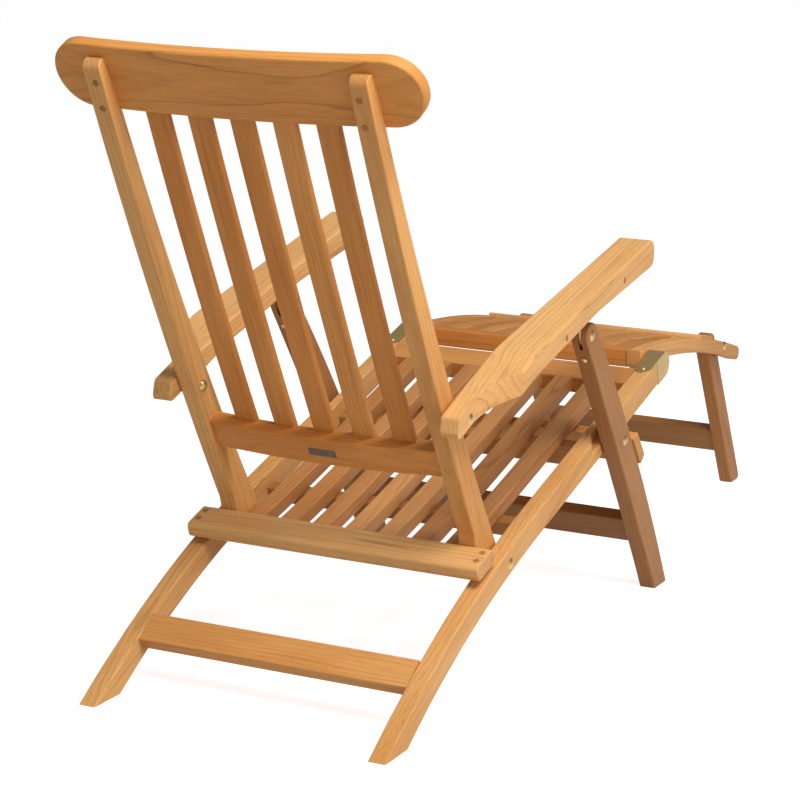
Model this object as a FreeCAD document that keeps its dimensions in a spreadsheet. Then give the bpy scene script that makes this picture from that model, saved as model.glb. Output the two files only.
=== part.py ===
"""Steamer deck chair: a slatted teak recliner with brass pivots and a hinged footrest.

Millimetres, +Z up, the sitter faces -Y, +X is the sitter's left. The feet stand on Z = 0.
Outlines are drawn in the side plane (Y, Z) from a datum that datum_y moves to the part's origin.
"""
import FreeCAD, Part
import math
import os
from types import SimpleNamespace

Vector = FreeCAD.Vector
Placement = FreeCAD.Placement
Rotation = FreeCAD.Rotation

OUT = "parts"

# Driving sizes: name, millimetres or degrees, meaning
SIZES = [
    ("datum_y", 102.56, "moves the side outlines so that the box is centred on the origin"),
    ("edge_round", 2.5, "softened edge of the joinery"),
    ("slat_least", 60.0, "longest edge of a slat's end, which stays sharp"),
    ("fit_gap", 0.06, "radial clearance of a bolt in its hole"),
    # seat frame
    ("rail_inner", 228.0, "inner face of a side rail from the middle"),
    ("rail_width", 29.0, "side rail across"),
    ("rail_depth", 41.0, "side rail, top to bottom"),
    ("rail_slope", 16.0, "fall of the seat towards the back"),
    ("rail_front_y", -303.0, "top corner of a side rail's front end"),
    ("rail_front_z", 392.0, "height of that corner"),
    ("rail_straight", 523.0, "straight stretch of a side rail"),
    ("rail_foot_y", 733.0, "rear end of the curved rear leg on the floor"),
    ("rail_foot_slope", 33.8, "slope of the rear leg at the floor"),
    ("front_rail_width", 56.0, "seat front rail along the seat"),
    ("front_rail_depth", 32.0, "seat front rail, top to bottom"),
    ("front_rail_setback", 28.0, "seat front rail behind the ends of the side rails"),
    ("cross_rail_width", 24.0, "hidden seat cross rail along the seat"),
    ("cross_rail_depth", 35.0, "front cross rail, top to bottom"),
    ("cross_rail_rear_depth", 23.0, "rear cross rail, top to bottom"),
    ("rail_under_slats", 0.05, "rear cross rail under the bowed slats"),
    ("cross_rail_front", 258.0, "front cross rail behind the rails' ends, along the seat"),
    ("cross_rail_rear", 520.0, "rear cross rail behind the rails' ends, along the seat"),
    ("tenon", 12.0, "length of a tenon"),
    ("seat_slat_width", 30.0, "seat slat across"),
    ("seat_slat_depth", 25.0, "seat slat, top to bottom"),
    ("seat_slat_pitch", 58.0, "seat slats, middle to middle"),
    ("seat_slat_lift", 9.0, "rise of a slat's rear end over the straight seat line"),
    ("slat_end_slope", 11.0, "slope of a slat's rear end"),
    ("bar_y", 363.0, "lower front edge of the rear cross bar"),
    ("bar_width", 60.0, "rear cross bar along the seat"),
    ("bar_depth", 26.0, "rear cross bar, top to bottom"),
    ("bar_round", 8.0, "rounding of the rear cross bar"),
    ("bar_slope", 17.5, "slope of the rear cross bar"),
    ("bar_half", 253.5, "half length of the rear cross bar"),
    ("stretcher_y", 569.0, "upper rear corner of the rear stretcher"),
    ("stretcher_z", 103.0, "height of that corner"),
    ("stretcher_lean", 36.0, "slope of the rear stretcher's face"),
    ("stretcher_width", 52.0, "rear stretcher's face"),
    ("stretcher_thick", 22.0, "rear stretcher through"),
    # crossing of leg and rail
    ("notch_outer_y", -2.0, "rear end of the rail's notch on its outer face"),
    ("notch_inner_y", -84.0, "rear end of the rail's notch on its inner face"),
    ("notch_front_y", -118.0, "front end of the rail's notch"),
    ("notch_depth", 17.0, "depth of the rail's notch"),
    # pivots in the side plane
    ("back_pivot_y", 311.0, "back pivot on the rails"),
    ("back_pivot_z", 186.0, "its height"),
    ("arm_pivot_y", 475.0, "arm pivot on the stiles"),
    ("arm_pivot_z", 447.0, "its height"),
    ("leg_top_y", 82.0, "front leg's upper pivot"),
    ("leg_top_z", 508.0, "its height"),
    ("leg_pivot_y", -83.0, "front leg's pivot on the rail"),
    ("leg_pivot_z", 303.0, "its height"),
    ("hinge_back", 34.0, "footrest pivot in front of the rails' ends, along the seat"),
    ("rest_leg_pivot_y", -757.0, "footrest leg's pivot"),
    ("rest_leg_pivot_z", 340.0, "its height"),
    # back
    ("stile_inner", 195.0, "inner face of a back stile from the middle"),
    ("stile_width", 29.0, "back stile across"),
    ("stile_foot", 28.0, "radius of a stile's foot around its pivot"),
    ("stile_facet", 14.0, "stile's facet on the cross bar, below the bar"),
    ("stile_rear_y", 376.2, "lower end of the stile's curved rear edge"),
    ("stile_rear_z", 243.0, "its height"),
    ("stile_top_y", 742.0, "middle of the stile's rounded top"),
    ("stile_top_z", 952.0, "its height"),
    ("stile_top_round", 13.0, "radius of the stile's top"),
    ("stile_bulge_rear", 11.0, "bulge of the stile's rear edge"),
    ("stile_bulge_front", 15.0, "hollow of the stile's front edge"),
    ("back_slat_width", 35.0, "back slat across"),
    ("back_slat_thick", 12.0, "back slat through"),
    ("back_slat_pitch", 68.0, "back slats, middle to middle"),
    ("back_slat_inset", 17.0, "back slats' lower ends in front of the stiles' rear edges"),
    ("back_slat_tip_inset", 22, "back slats' upper ends in front of the stiles' rear edges"),
    ("low_rail_z", 383.0, "upper rear edge of the back's lower rail"),
    ("low_rail_inset", 6.0, "lower rail's rear face in front of the stiles' rear edges"),
    ("low_rail_height", 52.0, "lower rail's face"),
    ("low_rail_thick", 26.0, "lower rail through"),
    ("low_rail_bow", 9.0, "bow of the lower rail's middle to the rear"),
    ("back_lean", 59.0, "slope of the lower rail"),
    ("head_lean", 61.0, "slope of the headboard"),
    ("head_drop", 61.0, "headboard's lower edge on the stiles, below their tops"),
    ("head_plug_upper", 23.0, "upper plug of a stile below its top"),
    ("head_plug_lower", 60.0, "lower plug of a stile below its top"),
    ("head_height", 106.0, "headboard's face"),
    ("head_half", 291.0, "half length of the headboard"),
    ("head_thick", 21.0, "headboard through"),
    ("head_bow", 14.0, "bow of the headboard's middle behind its ends"),
    ("head_let_in", 4.0, "headboard let over the stiles"),
    ("plate_width", 46.0, "blank plate across"),
    ("plate_height", 14.0, "blank plate's height"),
    ("plate_thick", 1.0, "blank plate through"),
    # arms
    ("arm_gap", 2.0, "washer between stile and arm"),
    ("arm_outer", 300.0, "outer face of an arm from the middle"),
    ("arm_inner_front", 241.5, "inner face of an arm's front end from the middle"),
    ("arm_outer_rear", 258.0, "outer face of an arm's thinned rear end from the middle"),
    ("arm_front_y", -153.0, "front end of an arm"),
    ("arm_front_z", 637.0, "upper front corner of an arm"),
    ("arm_bend_y", 330.0, "place where an arm bends down"),
    ("arm_bend_z", 526.0, "top of the arm there"),
    ("arm_rear_y", 514.0, "rear end of an arm"),
    ("arm_rear_z", 456.0, "top of the arm there"),
    ("arm_bend_round", 180.0, "rounding of an arm's bend"),
    ("arm_bend_depth", 38.0, "arm at its bend, top to bottom"),
    ("arm_depth", 48.0, "arm's front end, top to bottom"),
    ("arm_plug_down", 22.0, "arm's plugs below its top"),
    ("arm_plug_front", 143.0, "arm's front plug behind its front corner, along the arm"),
    ("arm_plug_rear", 387.0, "arm's rear plug behind its front corner, along the arm"),
    ("arm_hollow_y", 86.0, "place where the arm's underside bends a little"),
    ("arm_hollow_z", 548.0, "height of the underside there"),
    ("arm_rear_depth", 36.0, "arm's rear end, top to bottom"),
    ("arm_nose", 17.0, "rounding of an arm's front end"),
    ("arm_heel", 9.0, "rounding of an arm's rear end"),
    ("arm_edge", 5.0, "softened edge of an arm"),
    ("scoop_y", 380.0, "start of the scoop that thins an arm"),
    ("scoop_flat", 4.0, "flat of the scoop around the head of the arm's pivot bolt"),
    ("tongue_length", 58.0, "tongue above the leg's upper pivot, into the arm"),
    ("tongue_thick", 5.0, "brass tongue under an arm across"),
    ("tongue_radius", 17.0, "tongue around the pivot"),
    ("tongue_hole", 11.0, "radius of the tongue's wide hole"),
    ("tongue_gap", 0.4, "clearance of the tongue in the leg's fork, each side"),
    # front legs
    ("fork_below", 8.0, "fork's floor below the tongue"),
    ("leg_gap", 2.0, "washer between rail and front leg"),
    ("leg_width", 28.0, "front leg across"),
    ("leg_top_round", 21.0, "radius of a front leg's top"),
    ("leg_mid_depth", 54.0, "front leg at its pivot, in the side plane"),
    ("leg_foot_front_y", -313.0, "front corner of a front leg's foot"),
    ("leg_foot_rear_y", -256.0, "rear corner of a front leg's foot"),
    ("leg_front_bulge", 14.8, "bulge of a front leg's front edge"),
    ("leg_rear_bulge", 3.4, "hollow of a front leg's rear edge"),
    ("leg_stretcher_down", 232.0, "front stretcher's middle below the leg's pivot, along the leg"),
    ("leg_stretcher_width", 62.0, "front stretcher's face"),
    ("leg_stretcher_thick", 22.0, "front stretcher through"),
    ("leg_stretcher_back", 9.0, "front stretcher behind the leg's middle"),
    ("stop_bar_thick", 22.0, "stop bar through"),
    ("stop_bar_width", 58.0, "stop bar's face"),
    # footrest
    ("rest_outer", 225.0, "outer face of a footrest rail from the middle"),
    ("rest_rail_width", 25.0, "footrest rail across"),
    ("rest_rail_depth", 26.5, "footrest rail, top to bottom"),
    ("rest_rear_y", -304.0, "rear end of a footrest rail"),
    ("rest_rear_z", 409.0, "top of a footrest rail there"),
    ("rest_mid_y", -590.0, "middle of the footrest's arch"),
    ("rest_mid_z", 383.0, "its height"),
    ("rest_front_y", -853.0, "front end of a footrest rail"),
    ("rest_front_z", 321.0, "top of a footrest rail there"),
    ("rest_blend", 43.0, "start of a footrest rail's knuckle in front of its pivot"),
    ("rest_knuckle", 19.5, "footrest rail around its pivot"),
    ("rest_slat_width", 30.0, "footrest slat across"),
    ("rest_slat_depth", 18.0, "footrest slat, top to bottom"),
    ("rest_slat_pitch", 58.0, "footrest slats, middle to middle"),
    ("rest_slat_end_y", -640.0, "front end of the footrest slats"),
    ("end_slat_length", 74.0, "footrest's end slat along the footrest"),
    ("end_slat_rise", 6.0, "end slat over the rails"),
    ("end_slat_round", 4.0, "softened edge of the end slat"),
    ("end_slat_half", 217.0, "half length of the end slat"),
    ("end_slat_depth", 24.0, "end slat, top to bottom"),
    ("rear_rail_thick", 26.0, "footrest's rear rail through"),
    ("rear_rail_depth", 31.5, "footrest's rear rail, top to bottom"),
    ("rest_leg_gap", 1.0, "washer between footrest rail and leg"),
    ("rest_leg_width", 25.0, "footrest leg across"),
    ("rest_leg_depth", 43.0, "footrest leg in the side plane"),
    ("rest_leg_length", 353.0, "footrest leg, pivot to foot"),
    ("rest_leg_lean", 31.0, "footrest leg from the vertical"),
    ("rest_leg_corner", 9.0, "rounding of a footrest leg's foot"),
    ("rest_stretcher_down", 241.0, "footrest leg stretcher's middle below the pivot, along the leg"),
    ("rest_stretcher_width", 56.0, "footrest leg stretcher's face"),
    ("rest_stretcher_thick", 20.0, "footrest leg stretcher through"),
    # metalwork
    ("bolt_radius", 4.0, "bolt shank"),
    ("bolt_head", 9.0, "radius of a bolt's domed head"),
    ("bolt_dome", 3.2, "height of a domed head"),
    ("nut_height", 7.0, "height of a domed nut"),
    ("nut_crown", 2.0, "crown of a domed nut over its bolt's end"),
    ("washer_radius", 10.0, "washer"),
    ("screw_radius", 2.2, "screw shank"),
    ("screw_head", 5.0, "radius of a screw's round head"),
    ("screw_dome", 2.6, "height of a screw's round head"),
    ("screw_length", 18.0, "screw shank's length"),
    ("plug_radius", 5.0, "wood plug"),
    ("plug_length", 7.0, "wood plug's length"),
    ("plug_proud", 0.3, "wood plug over the face"),
    ("cap_sheet", 2.0, "brass sheet of a hinge cap"),
    ("cap_straight", 35.0, "straight stretch of a hinge cap in front of the rail"),
    ("strap_length", 44.0, "hinge strap on the rail, behind the rail's end"),
    ("hinge_pin_radius", 5.0, "footrest hinge pin"),
]

doc = FreeCAD.newDocument("steamer_deck_chair")
sheet = doc.addObject("Spreadsheet::Sheet", "Sizes")
for row, (alias, amount, meaning) in enumerate(SIZES, 1):
    sheet.set("A%d" % row, alias)
    sheet.set("B%d" % row, str(amount))
    sheet.set("C%d" % row, meaning)
    sheet.setAlias("B%d" % row, alias)
doc.recompute()
s = SimpleNamespace(**{alias: float(sheet.get(alias)) for alias, amount, meaning in SIZES})

SIDES = {"left": 1, "right": -1}
nodes = {}


# Plane geometry: points are vectors (Y, Z, 0)
def point(y, z):
    return Vector(y, z, 0)


def heading(degrees):
    """Unit vector that rises by so many degrees towards +Y."""
    return point(math.cos(math.radians(degrees)), math.sin(math.radians(degrees)))


def left_of(direction):
    return point(-direction.y, direction.x)


def along(a, b):
    """Unit vector from a to b."""
    step = b - a
    return step / step.Length


def bow(a, b, bulge):
    """Control point of a gentle curve from a to b that bulges to the left."""
    return (a + b) * 0.5 + left_of(along(a, b)) * (2 * bulge)


def on_bow(a, control, b, share):
    """Point at a share of the way along a gentle curve."""
    rest = 1 - share
    return a * (rest * rest) + control * (2 * rest * share) + b * (share * share)


def belt(centre_a, radius_a, centre_b, radius_b, bulge, side=1):
    """Gentle curve that runs tangentially from circle a to circle b, which lie on its right.

    A radius of 0 stands for a plain point, and side -1 puts the circles on the left.
    Returns the start, the control point and the end.
    """
    a, b = centre_a, centre_b
    for turn in range(30):
        control = bow(a, b, bulge)
        a = centre_a + left_of(along(a, control)) * (radius_a * side)
        b = centre_b + left_of(along(control, b)) * (radius_b * side)
    return a, bow(a, b, bulge), b


def share_where(curve, reached):
    """Share of the way along a curve from which on reached(point) holds."""
    near, far = 0.0, 1.0
    for turn in range(40):
        share = (near + far) / 2
        if reached(on_bow(*curve, share)):
            far = share
        else:
            near = share
    return share


def line_meet(a, da, b, db):
    """Crossing of the line through a along da and the line through b along db."""
    gap = b - a
    scale = (gap.x * db.y - gap.y * db.x) / (da.x * db.y - da.y * db.x)
    return a + da * scale


def outline(*steps):
    """Closed outline as sketch geometry.

    A step is a corner point, (corner, radius) for a rounded corner of two straight edges,
    ("via", point) for an arc through that point to the next corner, or ("bow", control) for a
    gentle curve to the next corner.
    """
    corners = []
    for step in steps:
        if isinstance(step, tuple) and step[0] in ("via", "bow"):
            corners[-1][step[0]] = step[1]
        elif isinstance(step, tuple):
            corners.append({"at": step[0], "radius": step[1], "via": None, "bow": None})
        else:
            corners.append({"at": step, "radius": 0.0, "via": None, "bow": None})
    count = len(corners)
    starts = [None] * count
    ends = [None] * count
    roundings = [None] * count
    for i, corner in enumerate(corners):
        starts[i] = ends[i] = corner["at"]
        if corner["radius"]:
            to_last = along(corner["at"], corners[i - 1]["at"])
            to_next = along(corner["at"], corners[(i + 1) % count]["at"])
            half = to_last.getAngle(to_next) / 2
            reach = corner["radius"] / math.tan(half)
            middle = (to_last + to_next) / (to_last + to_next).Length
            centre = corner["at"] + middle * (corner["radius"] / math.sin(half))
            ends[i] = corner["at"] + to_last * reach
            starts[i] = corner["at"] + to_next * reach
            roundings[i] = Part.Arc(ends[i], centre - middle * corner["radius"], starts[i])
    geometry = []
    for i, corner in enumerate(corners):
        if roundings[i]:
            geometry.append(roundings[i])
        a = starts[i]
        b = ends[(i + 1) % count]
        if corner["via"]:
            geometry.append(Part.Arc(a, corner["via"], b))
        elif corner["bow"]:
            curve = Part.BezierCurve()
            curve.setPoles([a, corner["bow"], b])
            geometry.append(curve.toBSpline())
        elif (b - a).Length > 1e-6:
            geometry.append(Part.LineSegment(a, b))
    return geometry


def strip(base, direction, length, depth, radius=0.0):
    """Rectangle from a base corner along a direction, its depth to the right of it."""
    across = left_of(direction) * -depth
    corners = (base, base + direction * length, base + direction * length + across, base + across)
    return outline(*[(corner, radius) for corner in corners])


# Solids
def body_of(name, geometry, length, plane="YZ_Plane", holes=(), start="0 mm", turn=None):
    """A padded sketch on one of the body's own planes, with round holes as (centre, radius)."""
    body = doc.addObject("PartDesign::Body", name)
    sketch = body.newObject("Sketcher::SketchObject", name + "_outline")
    support = [item for item in body.Origin.OriginFeatures if item.Role == plane][0]
    sketch.AttachmentSupport = (support, [""])
    sketch.MapMode = "FlatFace"
    for curve in geometry:
        sketch.addGeometry(curve)
    for centre, radius in holes:
        sketch.addGeometry(Part.Circle(centre, Vector(0, 0, 1), radius))
    pad = body.newObject("PartDesign::Pad", name + "_pad")
    pad.Profile = sketch
    pad.setExpression("Length", length)
    doc.recompute()
    if plane == "YZ_Plane":
        body.setExpression("Placement.Base.x", start)
        body.setExpression("Placement.Base.y", "Sizes.datum_y")
    if turn:
        body.Placement = turn
    doc.recompute()
    return body


def soften(name, base, radius=None, least=0.0):
    """Round the outlines of a padded piece's two end faces.

    Holes, edges on the floor and edges shorter than the least length stay sharp.
    """
    box = base.Shape.BoundBox
    amount = s.edge_round if radius is None else radius
    edges = []
    for i, edge in enumerate(base.Shape.Edges, 1):
        low = edge.BoundBox.XMin
        high = edge.BoundBox.XMax
        flat = high - low < 1e-4 and min(low - box.XMin, box.XMax - high) < 1e-4
        if flat and len(edge.Vertexes) > 1 and edge.BoundBox.ZMax > 0.1 and edge.Length > least:
            edges.append((i, amount, amount))
    fillet = doc.addObject("Part::Fillet", name)
    fillet.Base = base
    fillet.Edges = edges
    doc.recompute()
    return fillet


def fillet_all(name, base, radius, keep=None):
    """Round every edge that keep accepts, or every edge."""
    fillet = doc.addObject("Part::Fillet", name)
    fillet.Base = base
    fillet.Edges = [
        (i, radius, radius) for i, edge in enumerate(base.Shape.Edges, 1) if keep is None or keep(edge)
    ]
    doc.recompute()
    return fillet


def cut(name, base, tools):
    """Base less the tools."""
    tool = tools[0]
    if len(tools) > 1:
        tool = doc.addObject("Part::Compound", name + "_tools")
        tool.Links = tools
    done = doc.addObject("Part::Cut", name)
    done.Base = base
    done.Tool = tool
    doc.recompute()
    return done


def fuse(name, pieces):
    done = doc.addObject("Part::MultiFuse", name)
    done.Shapes = pieces
    doc.recompute()
    return done


def group(name, pieces):
    done = doc.addObject("Part::Compound", name)
    done.Links = pieces
    doc.recompute()
    return done


def node(label, item):
    """Keep a finished piece under its own name."""
    item.Label = label
    nodes[label] = item
    return item


def x_start(side, inner, width):
    """Expression of a piece's smaller X, from its inner face and its width."""
    if side > 0:
        return "%s" % inner
    return "-(%s) - (%s)" % (inner, width)


def turned_body(name, profile, where, axis):
    """A revolved piece: profile points (radius, height), its base at where along axis."""
    body = doc.addObject("PartDesign::Body", name)
    sketch = body.newObject("Sketcher::SketchObject", name + "_profile")
    support = [item for item in body.Origin.OriginFeatures if item.Role == "XZ_Plane"][0]
    sketch.AttachmentSupport = (support, [""])
    sketch.MapMode = "FlatFace"
    for curve in profile:
        sketch.addGeometry(curve)
    turn = body.newObject("PartDesign::Revolution", name + "_turned")
    turn.Profile = sketch
    turn.ReferenceAxis = ([item for item in body.Origin.OriginFeatures if item.Role == "Z_Axis"][0], [""])
    turn.Angle = 360
    doc.recompute()
    body.Placement = Placement(where, Rotation(Vector(0, 0, 1), axis))
    doc.recompute()
    return body


def shoulder(radius, height):
    """Point halfway up a round cap that is so wide and so high."""
    ball = (radius * radius + height * height) / (2 * height)
    half = math.asin(radius / ball) / 2
    return point(ball * math.sin(half), ball * math.cos(half) - ball + height)


def domed(radius, height, shank, length):
    """Profile of a domed head on a shank: the head's flat face is at height 0, the dome above it."""
    return outline(
        point(0, -length),
        point(shank, -length),
        point(shank, 0),
        point(radius, 0),
        ("via", shoulder(radius, height)),
        point(0, height),
    )


def tube(name, inner, outer, x_low, x_high, at):
    """Ring around the X axis between two X values, centred on a side-plane point."""
    ring = outline(point(inner, 0), point(outer, 0), point(outer, x_high - x_low), point(inner, x_high - x_low))
    return turned_body(name, ring, Vector(x_low, at.x + s.datum_y, at.y), Vector(1, 0, 0))


def rod(name, radius, x_low, x_high, at):
    """Cylinder along X between two X values, centred on a side-plane point."""
    rod_profile = outline(point(0, 0), point(radius, 0), point(radius, x_high - x_low), point(0, x_high - x_low))
    return turned_body(name, rod_profile, Vector(x_low, at.x + s.datum_y, at.y), Vector(1, 0, 0))


def pivot_bolts(label, at, outer_face, nut_face, washers=()):
    """A bolt with a domed head on the outer face and a domed nut on the inner one, on both sides."""
    pieces = []
    for word, side in SIDES.items():
        name = "%s_%s" % (label, word)
        where = Vector(side * outer_face, at.x + s.datum_y, at.y)
        shank_length = outer_face - nut_face + s.nut_height - s.nut_crown
        profile = domed(s.bolt_head, s.bolt_dome, s.bolt_radius, shank_length)
        pieces.append(turned_body(name, profile, where, Vector(side, 0, 0)))
        nut = outline(
            point(s.bolt_radius, 0),
            point(s.bolt_head, 0),
            ("via", shoulder(s.bolt_head, s.nut_height)),
            point(0, s.nut_height),
            point(0, s.nut_height - s.nut_crown),
            point(s.bolt_radius, s.nut_height - s.nut_crown),
        )
        under = Vector(side * nut_face, at.x + s.datum_y, at.y)
        pieces.append(turned_body(name + "_nut", nut, under, Vector(-side, 0, 0)))
        for index, (low, high) in enumerate(washers):
            ends = sorted((side * low, side * high))
            pieces.append(tube("%s_washer_%d" % (name, index), s.bolt_radius, s.washer_radius, *ends, at))
    return node(label, group(label + "_group", pieces))


def plugs(label, places):
    """Round wood plugs: places are (point on the face, outward axis)."""
    pieces = []
    for index, (where, axis) in enumerate(places):
        profile = outline(
            point(0, -s.plug_length),
            point(s.plug_radius, -s.plug_length),
            point(s.plug_radius, s.plug_proud),
            point(0, s.plug_proud),
        )
        pieces.append(turned_body("%s_%d" % (label, index), profile, where, axis))
    return node(label, group(label + "_group", pieces))


def screws(label, places):
    """Round-head screws: places are (point on the face, outward axis)."""
    pieces = []
    for index, (where, axis) in enumerate(places):
        profile = domed(s.screw_head, s.screw_dome, s.screw_radius, s.screw_length)
        pieces.append(turned_body("%s_%d" % (label, index), profile, where, axis))
    return node(label, group(label + "_group", pieces))


# Pivots
back_pivot = point(s.back_pivot_y, s.back_pivot_z)
arm_pivot = point(s.arm_pivot_y, s.arm_pivot_z)
leg_top = point(s.leg_top_y, s.leg_top_z)
leg_pivot = point(s.leg_pivot_y, s.leg_pivot_z)
rest_leg_pivot = point(s.rest_leg_pivot_y, s.rest_leg_pivot_z)

# Seat line: forwards and down in the side plane
seat_back = heading(-s.rail_slope)
seat_down = left_of(seat_back) * -1
rail_end = point(s.rail_front_y, s.rail_front_z)
hinge_pivot = rail_end - seat_back * s.hinge_back + seat_down * (s.rail_depth / 2)
rail_outer = s.rail_inner + s.rail_width
bolt_hole = s.bolt_radius + s.fit_gap


def on_seat(distance, below=0.0):
    """Point so far behind the rails' ends along the seat, so far below the rails' tops."""
    return rail_end + seat_back * distance + seat_down * below


def rail_profile():
    """A side rail and its curved rear leg in one piece."""
    bend = on_seat(s.rail_straight)
    foot = point(s.rail_foot_y, 0)
    foot_way = heading(180 - s.rail_foot_slope)
    low_bend = on_seat(s.rail_straight, s.rail_depth)
    low_foot = foot - point(s.rail_depth / math.sin(math.radians(s.rail_foot_slope)), 0)
    return outline(
        rail_end,
        bend,
        ("bow", line_meet(bend, seat_back, foot, foot_way)),
        foot,
        low_foot,
        ("bow", line_meet(low_bend, seat_back, low_foot, foot_way)),
        low_bend,
        on_seat(0, s.rail_depth),
    )


def make_rail_notch(side):
    """Tool that clears the rail's outer top corner for the crossing front leg."""
    outer = rail_outer + 5.0
    inner = s.rail_inner + s.rail_width / 2
    share = (inner - s.rail_inner) / s.rail_width
    inner_y = s.notch_inner_y + (s.notch_outer_y - s.notch_inner_y) * share
    plan = outline(
        point(side * outer, s.notch_front_y + s.datum_y),
        point(side * inner, s.notch_front_y + s.datum_y),
        point(side * inner, inner_y + s.datum_y),
        point(side * outer, s.notch_outer_y + s.datum_y),
    )
    name = "rail_notch_" + ("left" if side > 0 else "right")
    tool = body_of(name, plan, "100 mm", plane="XY_Plane")
    floor = on_seat((s.notch_outer_y - s.rail_front_y) / math.cos(math.radians(s.rail_slope)), s.notch_depth)
    pivot = Vector(0, floor.x + s.datum_y, floor.y)
    lift = Placement(Vector(0, 0, floor.y), Rotation())
    tilt = Placement(Vector(0, 0, 0), Rotation(Vector(1, 0, 0), -s.rail_slope), pivot)
    tool.Placement = tilt.multiply(lift)
    doc.recompute()
    return tool


def make_rails():
    holes = [(back_pivot, bolt_hole), (leg_pivot, bolt_hole)]
    for word, side in SIDES.items():
        name = "side_rail_" + word
        start = x_start(side, "Sizes.rail_inner", "Sizes.rail_width")
        rail = body_of(name + "_blank", rail_profile(), "Sizes.rail_width", holes=holes, start=start)
        notched = cut(name + "_notched", rail, [make_rail_notch(side)])
        node(name, soften(name, notched))


def board(label, shape, half="Sizes.rail_inner"):
    """A piece between two others across the chair, symmetric about the middle."""
    return node(label, body_of(label, shape, "2 * (%s)" % half, start="-(%s)" % half))


def open_board(label, shape, half):
    """A piece across the chair whose softened ends are in the open."""
    body = body_of(label + "_blank", shape, "2 * (%s)" % half, start="-(%s)" % half)
    return node(label, soften(label, body))


def make_seat_frame():
    """What joins the side rails under and behind the seat slats."""
    board("seat_front_rail", strip(
        on_seat(s.front_rail_setback), seat_back, s.front_rail_width, s.front_rail_depth, s.edge_round))
    board("seat_cross_rail_front", strip(
        on_seat(s.cross_rail_front, s.seat_slat_depth), seat_back, s.cross_rail_width, s.cross_rail_depth))
    under = seat_slat_edges()[1]
    ends = []
    for distance in (s.cross_rail_rear, s.cross_rail_rear + s.cross_rail_width):
        line = on_seat(distance)
        share = share_where(under, lambda spot: (spot - line).dot(seat_back) > 0)
        ends.append(on_bow(*under, share) + seat_down * s.rail_under_slats)
    board("seat_cross_rail_rear", strip(
        ends[0], along(*ends), s.cross_rail_width, s.cross_rail_rear_depth))
    face = heading(-s.stretcher_lean)
    corner = point(s.stretcher_y, s.stretcher_z)
    board("rear_stretcher", strip(corner, face, s.stretcher_width, s.stretcher_thick, s.edge_round))


def seat_slat_edges():
    """Upper and lower edge of a seat slat's raised rear part, as gentle curves."""
    front = s.front_rail_setback + s.front_rail_width
    rise = bar_front()
    top_end = bar_corner() + rise * s.seat_slat_lift
    low_end = top_end - rise * s.seat_slat_depth
    way = heading(-s.slat_end_slope)
    turn = line_meet(on_seat(0), seat_back, top_end, way)
    low_turn = line_meet(on_seat(0, s.seat_slat_depth), seat_back, low_end, way)
    bend = (on_seat(front) + turn) * 0.5
    return (bend, turn, top_end), (bend + seat_down * s.seat_slat_depth, low_turn, low_end)


def make_seat_slats():
    """Seven slats along the seat, from the front rail to the rear cross bar."""
    front = s.front_rail_setback + s.front_rail_width
    top, low = seat_slat_edges()
    shape = outline(
        on_seat(front),
        top[0],
        ("bow", top[1]),
        top[2],
        low[2],
        ("bow", low[1]),
        low[0],
        on_seat(front, s.seat_slat_depth),
    )
    for index in range(7):
        label = "seat_slat_%d" % (index + 1)
        start = "%d * Sizes.seat_slat_pitch - Sizes.seat_slat_width / 2" % (3 - index)
        blank = body_of(label + "_blank", shape, "Sizes.seat_slat_width", start=start)
        node(label, soften(label, blank, least=s.slat_least))


def bar_corner():
    """Lower front corner of the rear cross bar, on the rails."""
    distance = (s.bar_y - s.rail_front_y) / math.cos(math.radians(s.rail_slope))
    return on_seat(distance)


def bar_front():
    """Direction up the bar's front face."""
    return left_of(heading(-s.bar_slope))


def make_rear_bar():
    base = bar_corner()
    back = heading(-s.bar_slope)
    up = bar_front()
    shape = outline(
        (base, s.edge_round),
        (base + up * s.bar_depth, s.bar_round),
        (base + up * s.bar_depth + back * s.bar_width, s.bar_round),
        (base + back * s.bar_width, s.bar_round),
    )
    label = "rear_cross_bar"
    blank = body_of(label + "_blank", shape, "2 * Sizes.bar_half", start="-Sizes.bar_half")
    rails = [nodes["side_rail_left"], nodes["side_rail_right"]]
    seated = cut(label + "_seated", blank, rails)
    soft = soften(label + "_soft", seated, s.edge_round)
    places = []
    top = base + up * s.bar_depth
    for side in SIDES.values():
        for share in (0.28, 0.66):
            spot = top + back * (s.bar_width * share)
            x = side * (s.rail_inner + s.rail_width / 2)
            places.append((Vector(x, spot.x + s.datum_y, spot.y), Vector(0, up.x, up.y)))
    bar_plugs = plugs("rear_bar_plugs", places)
    node(label, cut(label, soft, [bar_plugs]))


def stile_edges():
    """A stile's axis at its top, its rear edge and its front edge, as gentle curves."""
    top = point(s.stile_top_y, s.stile_top_z)
    heel = point(s.stile_rear_y, s.stile_rear_z)
    rear = belt(heel, 0, top, s.stile_top_round, -s.stile_bulge_rear, -1)
    front = belt(top, s.stile_top_round, back_pivot, s.stile_foot, s.stile_bulge_front, -1)
    return along(rear[1], rear[2]), rear, front


def rear_at(height, inset=0.0):
    """Point on the stile's rear edge at a height, moved in towards the front."""
    axis, rear, front = stile_edges()
    share = share_where(rear, lambda spot: spot.y > height)
    way = along(on_bow(*rear, share - 0.01), on_bow(*rear, share + 0.01))
    return on_bow(*rear, share) + left_of(way) * inset


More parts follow.
